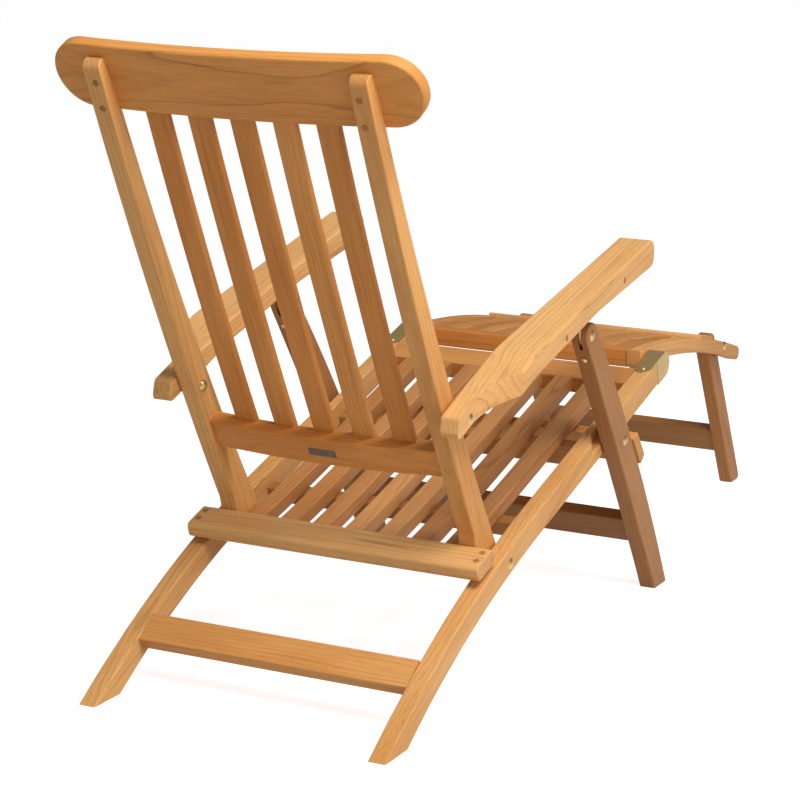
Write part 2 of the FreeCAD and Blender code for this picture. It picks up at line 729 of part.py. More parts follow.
def stile_profile():
    axis, rear, front = stile_edges()
    top = point(s.stile_top_y, s.stile_top_z)
    facet_low = bar_corner() - bar_front() * s.stile_facet
    reach = (facet_low - back_pivot).Length
    toward = math.degrees(math.atan2(facet_low.y - back_pivot.y, facet_low.x - back_pivot.x))
    sole_at = toward - math.degrees(math.acos(s.stile_foot / reach))
    front_at = math.degrees(math.atan2(front[2].y - back_pivot.y, front[2].x - back_pivot.x))
    return outline(
        rear[0],
        ("bow", rear[1]),
        rear[2],
        ("via", top + axis * s.stile_top_round),
        front[0],
        ("bow", front[1]),
        front[2],
        ("via", back_pivot + heading((front_at + sole_at + 360) / 2) * s.stile_foot),
        back_pivot + heading(sole_at) * s.stile_foot,
        facet_low,
    )


def slab_plan(half, bulge, rear, thick):
    """Plan of a bowed board: points are (X, Y), its rear face's middle at Y = rear."""
    def face(y):
        left = point(-half, y - bulge)
        right = point(half, y - bulge)
        return left, bow(left, right, bulge), right

    back = face(rear)
    front = face(rear - thick)
    return outline(back[0], ("bow", back[1]), back[2], front[2], ("bow", front[1]), front[0])


def make_back_head():
    """Bowed headboard with round ends, let over the fronts of the stiles."""
    axis, rear, front = stile_edges()
    share = share_where((front[2], front[1], front[0]), lambda spot: spot.y > s.stile_top_z - s.head_drop)
    base = on_bow(front[2], front[1], front[0], share)
    stile_middle = s.stile_inner + s.stile_width / 2
    ahead = s.head_bow * (stile_middle / s.head_half) ** 2
    plan = slab_plan(s.head_half, s.head_bow, ahead + s.head_let_in, s.head_thick)
    slab = body_of("headboard_slab", plan, "Sizes.head_height", plane="XY_Plane")
    half = s.head_height / 2
    flat = s.head_half - half
    face = outline(
        point(-flat, 0),
        point(flat, 0),
        ("via", point(s.head_half, half)),
        point(flat, s.head_height),
        point(-flat, s.head_height),
        ("via", point(-s.head_half, half)),
    )
    stadium = body_of("headboard_face", face, "200 mm", plane="XZ_Plane")
    stadium.Placement = Placement(Vector(0, 100, 0), Rotation())
    blank = doc.addObject("Part::Common", "headboard_blank")
    blank.Base = slab
    blank.Tool = stadium
    doc.recompute()
    soft = fillet_all("headboard_soft", blank, s.edge_round * 1.4)
    lean = Rotation(Vector(1, 0, 0), s.head_lean - 90)
    soft.Placement = Placement(Vector(0, base.x + s.datum_y, base.y), lean)
    doc.recompute()
    return cut("headboard_let_in", soft, [nodes["back_stile_left"], nodes["back_stile_right"]])


def make_low_rail():
    """Bowed lower rail of the back, tenoned between the stiles."""
    rise = heading(s.back_lean)
    behind = left_of(rise) * -1
    corner = rear_at(s.low_rail_z, s.low_rail_inset)
    plan = slab_plan(s.stile_inner, s.low_rail_bow, s.low_rail_bow, s.low_rail_thick)
    blank = body_of("back_lower_rail_blank", plan, "Sizes.low_rail_height", plane="XY_Plane")
    base = corner - rise * s.low_rail_height
    blank.Placement = Placement(
        Vector(0, base.x + s.datum_y, base.y), Rotation(Vector(1, 0, 0), s.back_lean - 90)
    )
    doc.recompute()

    def lengthwise(edge):
        return edge.BoundBox.XLength > s.stile_inner

    return fillet_all("back_lower_rail_soft", blank, s.edge_round, lengthwise), base, rise, behind


def make_back():
    """Backrest: stiles, headboard, lower rail and five curved slats."""
    plug_spots = [rear_at(s.stile_top_z - drop) for drop in (s.head_plug_upper, s.head_plug_lower)]
    axis, rear, front = stile_edges()
    outward = left_of(axis) * -1
    places = []
    for side in SIDES.values():
        for spot in plug_spots:
            x = side * (s.stile_inner + s.stile_width / 2 - 2)
            at = Vector(x, spot.x + s.datum_y, spot.y)
            places.append((at, Vector(0, outward.x, outward.y)))
    stile_plugs = plugs("back_stile_plugs", places)
    holes = [(back_pivot, bolt_hole), (arm_pivot, bolt_hole)]
    for word, side in SIDES.items():
        name = "back_stile_" + word
        start = x_start(side, "Sizes.stile_inner", "Sizes.stile_width")
        blank = body_of(name + "_blank", stile_profile(), "Sizes.stile_width", holes=holes, start=start)
        node(name, soften(name, cut(name + "_plugged", blank, [stile_plugs])))
    head = make_back_head()
    low_rail, rail_base, rise, behind = make_low_rail()
    slats = []
    slat_blanks = []
    foot = rear_at(s.low_rail_z - s.tenon, s.back_slat_inset)
    tip = rear_at(s.stile_top_z - s.head_drop + s.tenon, s.back_slat_tip_inset)
    bulge = s.stile_bulge_rear * 0.6
    across = left_of(along(foot, tip)) * s.back_slat_thick
    shape = outline(
        foot,
        ("bow", bow(foot, tip, -bulge)),
        tip,
        tip + across,
        ("bow", bow(tip + across, foot + across, bulge)),
        foot + across,
    )
    for index in range(5):
        label = "back_slat_%d" % (index + 1)
        start = "%d * Sizes.back_slat_pitch - Sizes.back_slat_width / 2" % (2 - index)
        blank = body_of(label + "_blank", shape, "Sizes.back_slat_width", start=start)
        slat_blanks.append(blank)
        slats.append(node(label, soften(label, blank, s.edge_round * 0.8, s.slat_least)))
    node("headboard", cut("headboard", head, slat_blanks))
    plate_middle = rail_base + rise * (s.low_rail_height / 2)
    plate_plan = outline(
        point(-s.plate_width / 2, 0),
        point(s.plate_width / 2, 0),
        point(s.plate_width / 2, s.plate_height),
        point(-s.plate_width / 2, s.plate_height),
    )
    plate = body_of("blank_plate", plate_plan, "Sizes.plate_thick", plane="XZ_Plane")
    seat = plate_middle + behind * (s.low_rail_bow + s.plate_thick * 0.6) - rise * (s.plate_height / 2)
    plate.Placement = Placement(
        Vector(0, seat.x + s.datum_y, seat.y), Rotation(Vector(1, 0, 0), s.back_lean - 90)
    )
    doc.recompute()
    node("blank_plate", plate)
    node("back_lower_rail", cut("back_lower_rail", low_rail, slats + [plate]))


def arm_profile():
    front_low = point(s.arm_front_y, s.arm_front_z - s.arm_depth)
    heel = point(s.arm_rear_y + 8, s.arm_rear_z - s.arm_rear_depth)
    return outline(
        (front_low, s.arm_nose),
        point(s.arm_hollow_y, s.arm_hollow_z),
        (point(s.arm_bend_y, s.arm_bend_z - s.arm_bend_depth), s.arm_bend_round),
        (heel, s.arm_heel),
        (point(s.arm_rear_y, s.arm_rear_z), s.arm_heel),
        (point(s.arm_bend_y, s.arm_bend_z), s.arm_bend_round),
        (point(s.arm_front_y, s.arm_front_z), s.arm_nose),
    )


def plan_tool(name, shape):
    """Tall tool over a plan outline (X, Y), to shape an arm from its sides."""
    tool = body_of(name, shape, "400 mm", plane="XY_Plane")
    tool.Placement = Placement(Vector(0, 0, 350), Rotation())
    doc.recompute()
    return tool


def arm_taper(side, name):
    """Tool for an arm's inner face, which runs out over the front leg."""
    d = s.datum_y
    inner = s.stile_inner + s.stile_width + s.arm_gap
    front = s.arm_front_y - 1 + d
    start = s.scoop_y + 50 + d
    return plan_tool(name + "_taper", outline(
        point(side * inner, start),
        ("bow", point(side * inner, start - 25)),
        point(side * s.arm_inner_front, front),
        point(side * (inner - 20), front),
        point(side * (inner - 20), start),
    ))


def arm_scoop(side, name):
    """Tool for the scoop that thins an arm's rear end from outside."""
    d = s.datum_y
    far = s.arm_rear_y + 60 + d
    end = s.arm_pivot_y - s.bolt_head - s.scoop_flat
    return plan_tool(name + "_scoop", outline(
        point(side * s.arm_outer, s.scoop_y + d),
        ("bow", point(side * (s.arm_outer_rear + 6), (s.scoop_y + end) / 2 + d - 8)),
        point(side * s.arm_outer_rear, end + d),
        point(side * s.arm_outer_rear, far),
        point(side * (s.arm_outer + 20), far),
        point(side * (s.arm_outer + 20), s.scoop_y + d),
    ))


def not_a_hole(edge):
    """An edge along a face's outline, not a round hole or a seam across the piece."""
    return len(edge.Vertexes) > 1 and edge.BoundBox.YLength > 1.0


def make_arms():
    inner = "Sizes.stile_inner + Sizes.stile_width + Sizes.arm_gap"
    width = "Sizes.arm_outer - (%s)" % inner
    corner = point(s.arm_front_y, s.arm_front_z)
    back = along(corner, point(s.arm_bend_y, s.arm_bend_z))
    spots = [corner + back * far - left_of(back) * s.arm_plug_down for far in (s.arm_plug_front, s.arm_plug_rear)]
    for word, side in SIDES.items():
        name = "arm_" + word
        start = x_start(side, inner, width)
        blank = body_of(name + "_blank", arm_profile(), width, holes=[(arm_pivot, bolt_hole)], start=start)
        tapered = cut(name + "_tapered", blank, [arm_taper(side, name)])
        rounded = fillet_all(name + "_rounded", tapered, s.arm_edge, not_a_hole)
        places = [(Vector(side * s.arm_outer, spot.x + s.datum_y, spot.y), Vector(side, 0, 0)) for spot in spots]
        arm_plugs = plugs("arm_plugs_" + word, places)
        node(name, cut(name, rounded, [arm_scoop(side, name), arm_plugs, make_tongue(word, side)]))


def make_tongue(word, side):
    """Tongue let into an arm's underside, whose lower end turns in the fork of the front leg."""
    name = "arm_tongue_" + word
    slope = along(point(s.arm_front_y, s.arm_front_z), point(s.arm_bend_y, s.arm_bend_z))
    up = left_of(slope)
    middle = side * (rail_outer + s.leg_gap + s.leg_width / 2)
    shape = outline(
        leg_top + slope * s.tongue_radius,
        leg_top + slope * s.tongue_radius + up * s.tongue_length,
        leg_top - slope * s.tongue_radius + up * s.tongue_length,
        leg_top - slope * s.tongue_radius,
        ("via", leg_top - up * s.tongue_radius),
    )
    start = "%s - Sizes.tongue_thick / 2" % middle
    return node(name, body_of(name, shape, "Sizes.tongue_thick", holes=[(leg_top, s.tongue_hole)], start=start))


def leg_profile():
    axis = along(leg_pivot, leg_top)
    front = belt(point(s.leg_foot_front_y, 0), 0, leg_top, s.leg_top_round, s.leg_front_bulge)
    rear = belt(leg_top, s.leg_top_round, point(s.leg_foot_rear_y, 0), 0, -s.leg_rear_bulge)
    return outline(
        front[0],
        ("bow", front[1]),
        front[2],
        ("via", leg_top + axis * s.leg_top_round),
        rear[0],
        ("bow", rear[1]),
        rear[2],
    )


def make_front_legs():
    """Front legs, their stretcher and the bar that stops them under the rails."""
    axis = along(leg_pivot, leg_top)
    side_way = left_of(axis)
    inner = "Sizes.rail_inner + Sizes.rail_width + Sizes.leg_gap"
    holes = [(leg_pivot, bolt_hole), (leg_top, bolt_hole)]
    room = s.tongue_radius + s.fork_below
    fork = outline(
        leg_top + side_way * room + axis * room,
        leg_top + side_way * room,
        ("via", leg_top - axis * room),
        leg_top - side_way * room,
        leg_top - side_way * room + axis * room,
    )
    screw_spot = leg_top - axis * 36.0 - side_way * 23.5
    places = []
    legs = []
    for word, side in SIDES.items():
        name = "front_leg_" + word
        start = x_start(side, inner, "Sizes.leg_width")
        blank = body_of(name + "_blank", leg_profile(), "Sizes.leg_width", holes=holes, start=start)
        middle = side * (rail_outer + s.leg_gap + s.leg_width / 2)
        slot_start = "%s - Sizes.tongue_thick / 2 - Sizes.tongue_gap" % middle
        slot = body_of(name + "_fork", fork, "Sizes.tongue_thick + 2 * Sizes.tongue_gap", start=slot_start)
        places.append((Vector(middle, screw_spot.x + s.datum_y, screw_spot.y), Vector(0, -side_way.x, -side_way.y)))
        legs.append((name, soften(name + "_soft", blank), slot))
    leg_screws = screws("leg_screws", places)
    down = axis * -1
    middle = leg_pivot + down * s.leg_stretcher_down - side_way * s.leg_stretcher_back
    corner = middle - down * (s.leg_stretcher_width / 2) - side_way * (s.leg_stretcher_thick / 2)
    stretcher = strip(corner, down, s.leg_stretcher_width, s.leg_stretcher_thick, s.edge_round)
    board("front_leg_stretcher", stretcher, inner)
    bar = make_stop_bar(down)
    for name, soft, slot in legs:
        node(name, cut(name, soft, [slot, leg_screws, bar]))


def make_stop_bar(down):
    """Bar in front of the legs that bears on the undersides of the rails."""
    front = left_of(down) * -1
    edge = leg_pivot + front * (s.leg_mid_depth / 2 - 1.5)
    rail_under = on_seat(0, s.rail_depth)
    high_rear = line_meet(edge, down, rail_under, seat_back)
    high_front = line_meet(edge + front * s.stop_bar_thick, down, rail_under, seat_back)
    low_front = high_front + down * s.stop_bar_width
    low_rear = line_meet(edge, down, low_front, front)
    shape = outline(high_rear, high_front, (low_front, s.edge_round * 2), (low_rear, s.edge_round))
    half = "Sizes.rail_inner + Sizes.rail_width + Sizes.leg_gap + Sizes.leg_width"
    return open_board("stop_bar", shape, half)


def rest_top():
    """The footrest's arched top as a gentle curve, from its rear end to its front end."""
    rear = point(s.rest_rear_y, s.rest_rear_z)
    middle = point(s.rest_mid_y, s.rest_mid_z)
    front = point(s.rest_front_y, s.rest_front_z)
    return rear, middle * 2 - (rear + front) * 0.5, front


def rest_at(y, below=0.0):
    """Point on the footrest's arched top at a place along Y, moved down across it."""
    top = rest_top()
    share = share_where(top, lambda spot: spot.x < y)
    tangent = along(on_bow(*top, share - 0.01), on_bow(*top, share + 0.01))
    return on_bow(*top, share) + left_of(tangent) * below


def rest_piece(y_rear, y_front, below, deep):
    """Outline of a strip that follows the footrest's arch between two places."""
    middle = (y_rear + y_front) / 2

    def line(depth):
        a = rest_at(y_rear, depth)
        b = rest_at(y_front, depth)
        return a, rest_at(middle, depth) * 2 - (a + b) * 0.5, b

    top = line(below)
    low = line(below + deep)
    return outline(top[0], low[0], ("bow", low[1]), low[2], top[2], ("bow", top[1]))


def rest_rail_profile():
    """An arched footrest rail with a round nose and a knuckle around the hinge pin."""
    top = rest_top()
    chord = along(top[0], top[2])
    hump = (top[1] - (top[0] + top[2]) * 0.5).dot(left_of(chord) * -1) / 2

    def hump_over(a, b):
        return hump * ((b - a).Length / (top[2] - top[0]).Length) ** 2

    nose_round = s.rest_rail_depth / 2
    nose = rest_at(s.rest_front_y + nose_round, nose_round)
    upper = belt(top[0], 0, nose, nose_round, -hump_over(top[0], nose), -1)
    low_end = rest_at(hinge_pivot.x - s.rest_blend, s.rest_rail_depth)
    lower = belt(nose, nose_round, low_end, 0, hump_over(nose, low_end), -1)
    touch = hinge_pivot + heading(-130) * s.rest_knuckle
    blend = line_meet(low_end, along(lower[1], low_end), touch, heading(-40))
    heel = point(s.rest_rear_y, hinge_pivot.y)
    heel_at = -math.degrees(math.acos(s.rest_knuckle / (heel.x - hinge_pivot.x)))
    return outline(
        top[0],
        ("bow", upper[1]),
        upper[2],
        ("via", nose + along(upper[1], upper[2]) * nose_round),
        lower[0],
        ("bow", lower[1]),
        low_end,
        ("bow", blend),
        touch,
        ("via", hinge_pivot + heading(-90) * s.rest_knuckle),
        hinge_pivot + heading(heel_at) * s.rest_knuckle,
        heel,
    )


def make_footrest():
    """Arched footrest: side rails, rear rail, slats and end slat."""
    holes = [(hinge_pivot, s.hinge_pin_radius), (rest_leg_pivot, bolt_hole)]
    inner = "Sizes.rest_outer - Sizes.rest_rail_width"
    end_rear = rest_at(s.rest_slat_end_y, -s.end_slat_rise)
    end_way = along(rest_at(s.rest_slat_end_y), rest_at(s.rest_slat_end_y - s.end_slat_length))
    end_low = end_rear + left_of(end_way) * s.end_slat_depth
    end_shape = strip(end_low, end_way, s.end_slat_length, s.end_slat_depth, s.end_slat_round)
    end_slat = open_board("footrest_end_slat", end_shape, "Sizes.end_slat_half")
    for word, side in SIDES.items():
        name = "footrest_rail_" + word
        start = x_start(side, inner, "Sizes.rest_rail_width")
        blank = body_of(name + "_blank", rest_rail_profile(), "Sizes.rest_rail_width", holes=holes, start=start)
        node(name, cut(name, soften(name + "_soft", blank, least=s.slat_least), [end_slat]))
    rear_top = rest_at(s.rest_rear_y - 3.0)
    forward = along(*[rest_at(y) for y in (s.rest_rear_y - 3.0, s.rest_rear_y - 30.0)])
    rear_shape = strip(rear_top + left_of(forward) * s.rear_rail_depth, forward, s.rear_rail_thick,
                       s.rear_rail_depth, s.edge_round)
    board("footrest_rear_rail", rear_shape, inner)
    slat_rear_y = s.rest_rear_y - 3.0 - s.rear_rail_thick * 0.4
    shape = rest_piece(slat_rear_y, s.rest_slat_end_y - s.tenon, 0.0, s.rest_slat_depth)
    rear_room = body_of("footrest_rear_room", strip(
        rear_top + left_of(forward) * (s.rear_rail_depth * 2), forward, s.rear_rail_thick,
        s.rear_rail_depth * 3), "2 * Sizes.rest_outer", start="-Sizes.rest_outer")
    end_room = body_of("footrest_end_room", strip(
        end_low + left_of(end_way) * s.end_slat_depth, end_way, s.end_slat_length,
        s.end_slat_depth * 3), "2 * Sizes.rest_outer", start="-Sizes.rest_outer")
    for index in range(6):
        label = "footrest_slat_%d" % (index + 1)
        start = "%.1f * Sizes.rest_slat_pitch - Sizes.rest_slat_width / 2" % (2.5 - index)
        blank = body_of(label + "_blank", shape, "Sizes.rest_slat_width", start=start)
        node(label, soften(label, cut(label + "_cut", blank, [rear_room, end_room]), least=s.slat_least))


def make_footrest_legs():
    up = heading(90 - s.rest_leg_lean)
    side_way = left_of(up)
    half = s.rest_leg_depth / 2
    foot = rest_leg_pivot - up * s.rest_leg_length
    inner = "Sizes.rest_outer - Sizes.rest_rail_width - Sizes.rest_leg_gap - Sizes.rest_leg_width"
    left = foot + side_way * half
    right = foot - side_way * half
    flat = point(1, 0)
    right_corner = line_meet(right, up, point(0, foot.y - 8), flat)
    left_corner = line_meet(left, up, point(0, foot.y - 8), flat)
    shape = outline(
        (left_corner, s.rest_leg_corner),
        (right_corner, s.rest_leg_corner),
        rest_leg_pivot - side_way * half,
        ("via", rest_leg_pivot + up * half),
        rest_leg_pivot + side_way * half,
    )
    for word, side in SIDES.items():
        name = "footrest_leg_" + word
        start = x_start(side, inner, "Sizes.rest_leg_width")
        blank = body_of(name + "_blank", shape, "Sizes.rest_leg_width", holes=[(rest_leg_pivot, bolt_hole)], start=start)
        node(name, soften(name, blank))
    down = up * -1
    corner = (rest_leg_pivot + down * (s.rest_stretcher_down - s.rest_stretcher_width / 2)
              - side_way * (half - 4.0))
    stretcher = strip(corner, down, s.rest_stretcher_width, s.rest_stretcher_thick, s.edge_round)
    board("footrest_leg_stretcher", stretcher, inner)


def cap_profile(inset):
    """Outline of a hinge cap in front of a rail's end, inset by a sheet's thickness."""
    top = on_seat(0, inset)
    nose_start = on_seat(-s.cap_straight, inset)
    low = on_seat(-s.cap_straight, s.rail_depth - inset)
    nose = on_seat(-s.cap_straight - s.rail_depth / 2 + inset, s.rail_depth / 2)
    return top, nose_start, nose, low, on_seat(0, s.rail_depth - inset)


def make_hinges():
    """Brass caps on the rails' front ends, which carry the footrest's pivots."""
    lap = -s.cap_sheet
    outer = cap_profile(lap)
    strap_end = on_seat(s.strap_length, lap)
    strap_under = on_seat(s.strap_length, 0)
    band = outline(
        strap_end,
        outer[1],
        ("via", outer[2]),
        outer[3],
        outer[4],
        on_seat(0, s.rail_depth),
        on_seat(-s.cap_straight, s.rail_depth),
        ("via", on_seat(-s.cap_straight - s.rail_depth / 2, s.rail_depth / 2)),
        on_seat(-s.cap_straight, 0),
        strap_under,
    )
    cheek = outline(outer[0], outer[1], ("via", outer[2]), outer[3], outer[4])
    round_half = s.rail_width / 2
    places = []
    caps = []
    for word, side in SIDES.items():
        name = "hinge_cap_" + word
        start = x_start(side, "Sizes.rail_inner", "Sizes.rail_width")
        shell = body_of(name + "_band", band, "Sizes.rail_width", start=start)
        outer_cheek = body_of(
            name + "_outer", cheek, "Sizes.cap_sheet",
            start=x_start(side, "Sizes.rail_inner + Sizes.rail_width - Sizes.cap_sheet", "Sizes.cap_sheet"),
        )
        inner_cheek = body_of(
            name + "_inner", cheek, "Sizes.cap_sheet",
            start=x_start(side, "Sizes.rail_inner", "Sizes.cap_sheet"),
            holes=[(hinge_pivot, s.hinge_pin_radius + s.fit_gap)],
        )
        joined = fuse(name + "_joined", [shell, outer_cheek, inner_cheek])
        x = side * (s.rail_inner + round_half)
        spot = on_seat(s.strap_length - round_half, lap)
        up = seat_down * -1
        places.append((Vector(x, spot.x + s.datum_y, spot.y), Vector(0, up.x, up.y)))
        caps.append((name, joined, strap_rounding(name, side, x)))
    hinge_screws = screws("hinge_screws", places)
    for name, joined, rounding in caps:
        node(name, cut(name, joined, [rounding, hinge_screws]))
    for word in SIDES:
        label = "side_rail_" + word
        drilled = cut(label + "_drilled", nodes[label], [hinge_screws])
        nodes[label].Label = label + "_undrilled"
        node(label, drilled)
    pins = []
    for word, side in SIDES.items():
        low, high = sorted((side * (s.rest_outer - s.rest_rail_width), side * (rail_outer - s.cap_sheet)))
        pins.append(rod("hinge_pin_" + word, s.hinge_pin_radius, low, high, hinge_pivot))
    node("footrest_hinge_pins", group("footrest_hinge_pins_group", pins))


def strap_rounding(name, side, middle):
    """Tool that leaves a round end on a hinge strap."""
    half = s.rail_width / 2
    d = s.datum_y
    centre = on_seat(s.strap_length - half)
    y = centre.x + d
    past = y + half + 10
    shape = outline(
        point(middle - half, y),
        ("via", point(middle, y + half)),
        point(middle + half, y),
        point(middle + half + 5, y),
        point(middle + half + 5, past),
        point(middle - half - 5, past),
        point(middle - half - 5, y),
    )
    tool = body_of(name + "_round", shape, "60 mm", plane="XY_Plane")
    tool.Placement = Placement(Vector(0, 0, centre.y - 30), Rotation())
    doc.recompute()
    return tool


def make_bolts():
    stile_outer = s.stile_inner + s.stile_width
    pivot_bolts("back_pivot_bolts", back_pivot, rail_outer, s.stile_inner, [(stile_outer, s.rail_inner)])
    pivot_bolts(
        "arm_pivot_bolts", arm_pivot, s.arm_outer_rear, s.stile_inner, [(stile_outer, stile_outer + s.arm_gap)]
    )
    leg_inner = rail_outer + s.leg_gap
    leg_outer = leg_inner + s.leg_width
    pivot_bolts("leg_pivot_bolts", leg_pivot, leg_outer, s.rail_inner, [(rail_outer, leg_inner)])
    pivot_bolts("leg_top_bolts", leg_top, leg_outer, leg_inner)
    rest_inner = s.rest_outer - s.rest_rail_width
    leg_face = rest_inner - s.rest_leg_gap
    pivot_bolts(
        "footrest_leg_bolts", rest_leg_pivot, s.rest_outer, leg_face - s.rest_leg_width, [(leg_face, rest_inner)]
    )


def check(item):
    """Stop on a broken feature or an empty or invalid shape."""
    broken = [word for word in item.State if word in ("Invalid", "Error")]
    if broken or item.Shape.isNull() or not item.Shape.isValid():
        raise RuntimeError("%s is not sound: %s" % (item.Label, item.State))


def export():
    os.makedirs(OUT, exist_ok=True)
    for item in doc.Objects:
        if hasattr(item, "Shape") and not item.isDerivedFrom("Sketcher::SketchObject"):
            broken = [word for word in item.State if word in ("Invalid", "Error")]
            if broken:
                raise RuntimeError("%s failed" % item.Name)
    for label, item in nodes.items():
        check(item)
        item.Shape.exportStep(os.path.join(OUT, label + ".step"))
        print("%-26s solids %d  volume %.0f" % (label, len(item.Shape.Solids), item.Shape.Volume))


make_rails()
make_seat_frame()
make_rear_bar()
make_seat_slats()
make_back()
make_arms()
make_front_legs()
make_footrest()
make_footrest_legs()
make_hinges()
make_bolts()
export()
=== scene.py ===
"""Looks of the steamer deck chair: oiled teak, satin brass and a plain studio.

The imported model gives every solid, and no solid is moved or changed. This script dresses them with
procedural materials and sets the camera, the floor and the light. Metres, +Z up, the sitter faces -Y.
"""

import logging
import math
import random
from dataclasses import dataclass, field
from enum import Enum
from typing import Dict, List, Optional, Sequence, Tuple

import bmesh
import bpy
from mathutils import Matrix, Vector


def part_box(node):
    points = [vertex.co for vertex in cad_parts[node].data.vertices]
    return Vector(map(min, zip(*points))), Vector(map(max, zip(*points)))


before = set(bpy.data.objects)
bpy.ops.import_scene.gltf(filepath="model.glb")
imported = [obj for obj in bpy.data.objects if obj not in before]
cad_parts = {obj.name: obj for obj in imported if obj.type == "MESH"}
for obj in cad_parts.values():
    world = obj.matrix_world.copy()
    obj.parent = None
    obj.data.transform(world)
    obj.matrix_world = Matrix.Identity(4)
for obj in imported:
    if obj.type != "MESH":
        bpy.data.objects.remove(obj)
log = logging.getLogger("deck_chair")

Colour = Tuple[float, float, float]
Point = Tuple[float, float, float]
Span = Tuple[float, float]

EDGE_REACH = 0.0022
EDGE_TURN: Span = (0.985, 0.86)
EDGE_SHARE = 0.5
HEART_AWAY: Span = (0.045, 0.11)
LOG_START: Span = (-4.0, 4.0)
BOARD_TONE: Span = (-0.05, 0.62)


class Grain(Enum):
    """Direction of the fibres: slope in the side plane in degrees, or None across the chair."""

    ACROSS = None
    RAIL = -24.0
    SEAT = -16.0
    BAR = -17.0
    BACK = 63.0
    ARM = -13.5
    LEG = 52.0
    FOOTREST = 8.5
    FOOTREST_LEG = 59.0


@dataclass(frozen=True)
class TeakTone:
    """Colours of a board, from sapwood-pale to late-season dark."""

    pale: Colour = (0.80, 0.410, 0.132)
    warm: Colour = (0.60, 0.250, 0.060)
    dark: Colour = (0.24, 0.076, 0.015)
    roughness: float = 0.52


class Tone(Enum):
    """Named board tones of the chair. The amber, russet and umber tones are darker copies of the teak
    that paint shade on boards that sit in shade; amber is also more orange.
    """

    HONEY = TeakTone()
    GOLD = TeakTone(pale=(0.81, 0.450, 0.165), warm=(0.65, 0.300, 0.085))
    # Amber: a more orange teak that is also darker, so that it paints the shade on the back's rear
    # faces.
    AMBER_AND_PAINTED_SHADE = TeakTone(pale=(0.76, 0.325, 0.078), warm=(0.58, 0.200, 0.033), dark=(0.22, 0.062, 0.011))
    # Russet: a darker copy of the teak that paints shade on the seat slats and the footrest legs.
    RUSSET_PAINTED_SHADE = TeakTone(pale=(0.62, 0.295, 0.100), warm=(0.46, 0.185, 0.050), dark=(0.20, 0.065, 0.016))
    # Umber: a darker copy of the teak that paints shade under the seat, on the legs below the arms and
    # on the low stretchers.
    UMBER_PAINTED_SHADE = TeakTone(pale=(0.47, 0.215, 0.068), warm=(0.33, 0.130, 0.034), dark=(0.15, 0.048, 0.012))
    PLUG = TeakTone(pale=(0.42, 0.18, 0.055), warm=(0.32, 0.125, 0.035), dark=(0.16, 0.055, 0.015))


@dataclass(frozen=True)
class Speckle:
    """A noise: scale, detail and roughness, and its scale along the fibres as a share."""

    scale: float
    detail: float = 2.0
    rough: float = 0.5
    along: float = 1.0


@dataclass(frozen=True)
class TeakFigure:
    """What the teak's figure is drawn from: lengths in metres, shares and spans from 0 to 1."""

    wander: Speckle = Speckle(7.0, 2.5, along=0.32)
    wander_reach: float = 0.030
    ring_width: float = 0.0075
    ring_noise: Speckle = Speckle(24.0, 2.0, along=0.04)
    ring_drift: float = 2.2
    ring_rise: Span = (0.25, 0.90)
    ring_fall: Span = (0.92, 1.0)
    ring_share: float = 0.13
    line_years: Span = (0.72, 0.80)
    line_rise: Span = (0.80, 0.93)
    line_fall: Span = (0.93, 1.0)
    line_share: float = 0.38
    fibre: Speckle = Speckle(420.0, 3.0, 0.62, along=0.020)
    fibre_dark: Span = (0.48, 0.85)
    fibre_dark_share: float = 0.34
    fibre_pale: Span = (0.52, 0.25)
    fibre_pale_share: float = 0.30
    fibre_dull: Span = (0.3, 0.8)
    fibre_dull_share: float = 0.12
    fibre_height: float = 0.6
    pores: Speckle = Speckle(1100.0, 1.0, along=0.030)
    pore_span: Span = (0.60, 0.72)
    pore_share: float = 0.26
    pore_depth: float = 0.5
    streak: Speckle = Speckle(40.0, 2.0, along=0.055)
    streak_span: Span = (0.60, 0.80)
    streak_share: float = 0.38
    cloud: Speckle = Speckle(9.0, 2.0, along=0.30)
    cloud_span: Span = (0.3, 0.72)
    cloud_share: float = 0.45
    end_span: Span = (0.55, 0.9)
    end_share: float = 0.18


@dataclass(frozen=True)
class BrassFigure:
    """What the brass's tarnish is drawn from: shares and spans from 0 to 1."""

    cloud: Speckle = Speckle(60.0, 4.0, 0.6)
    cloud_span: Span = (0.35, 0.85)
    cloud_share: float = 0.5
    specks: Speckle = Speckle(700.0)
    speck_span: Span = (0.58, 0.80)
    speck_share: float = 0.22
    brush: Speckle = Speckle(900.0)
    brush_lines: Tuple[float, float, float] = (1.0, 0.05, 1.0)
    patina_dull: float = 0.22
    brush_dull: float = 0.14


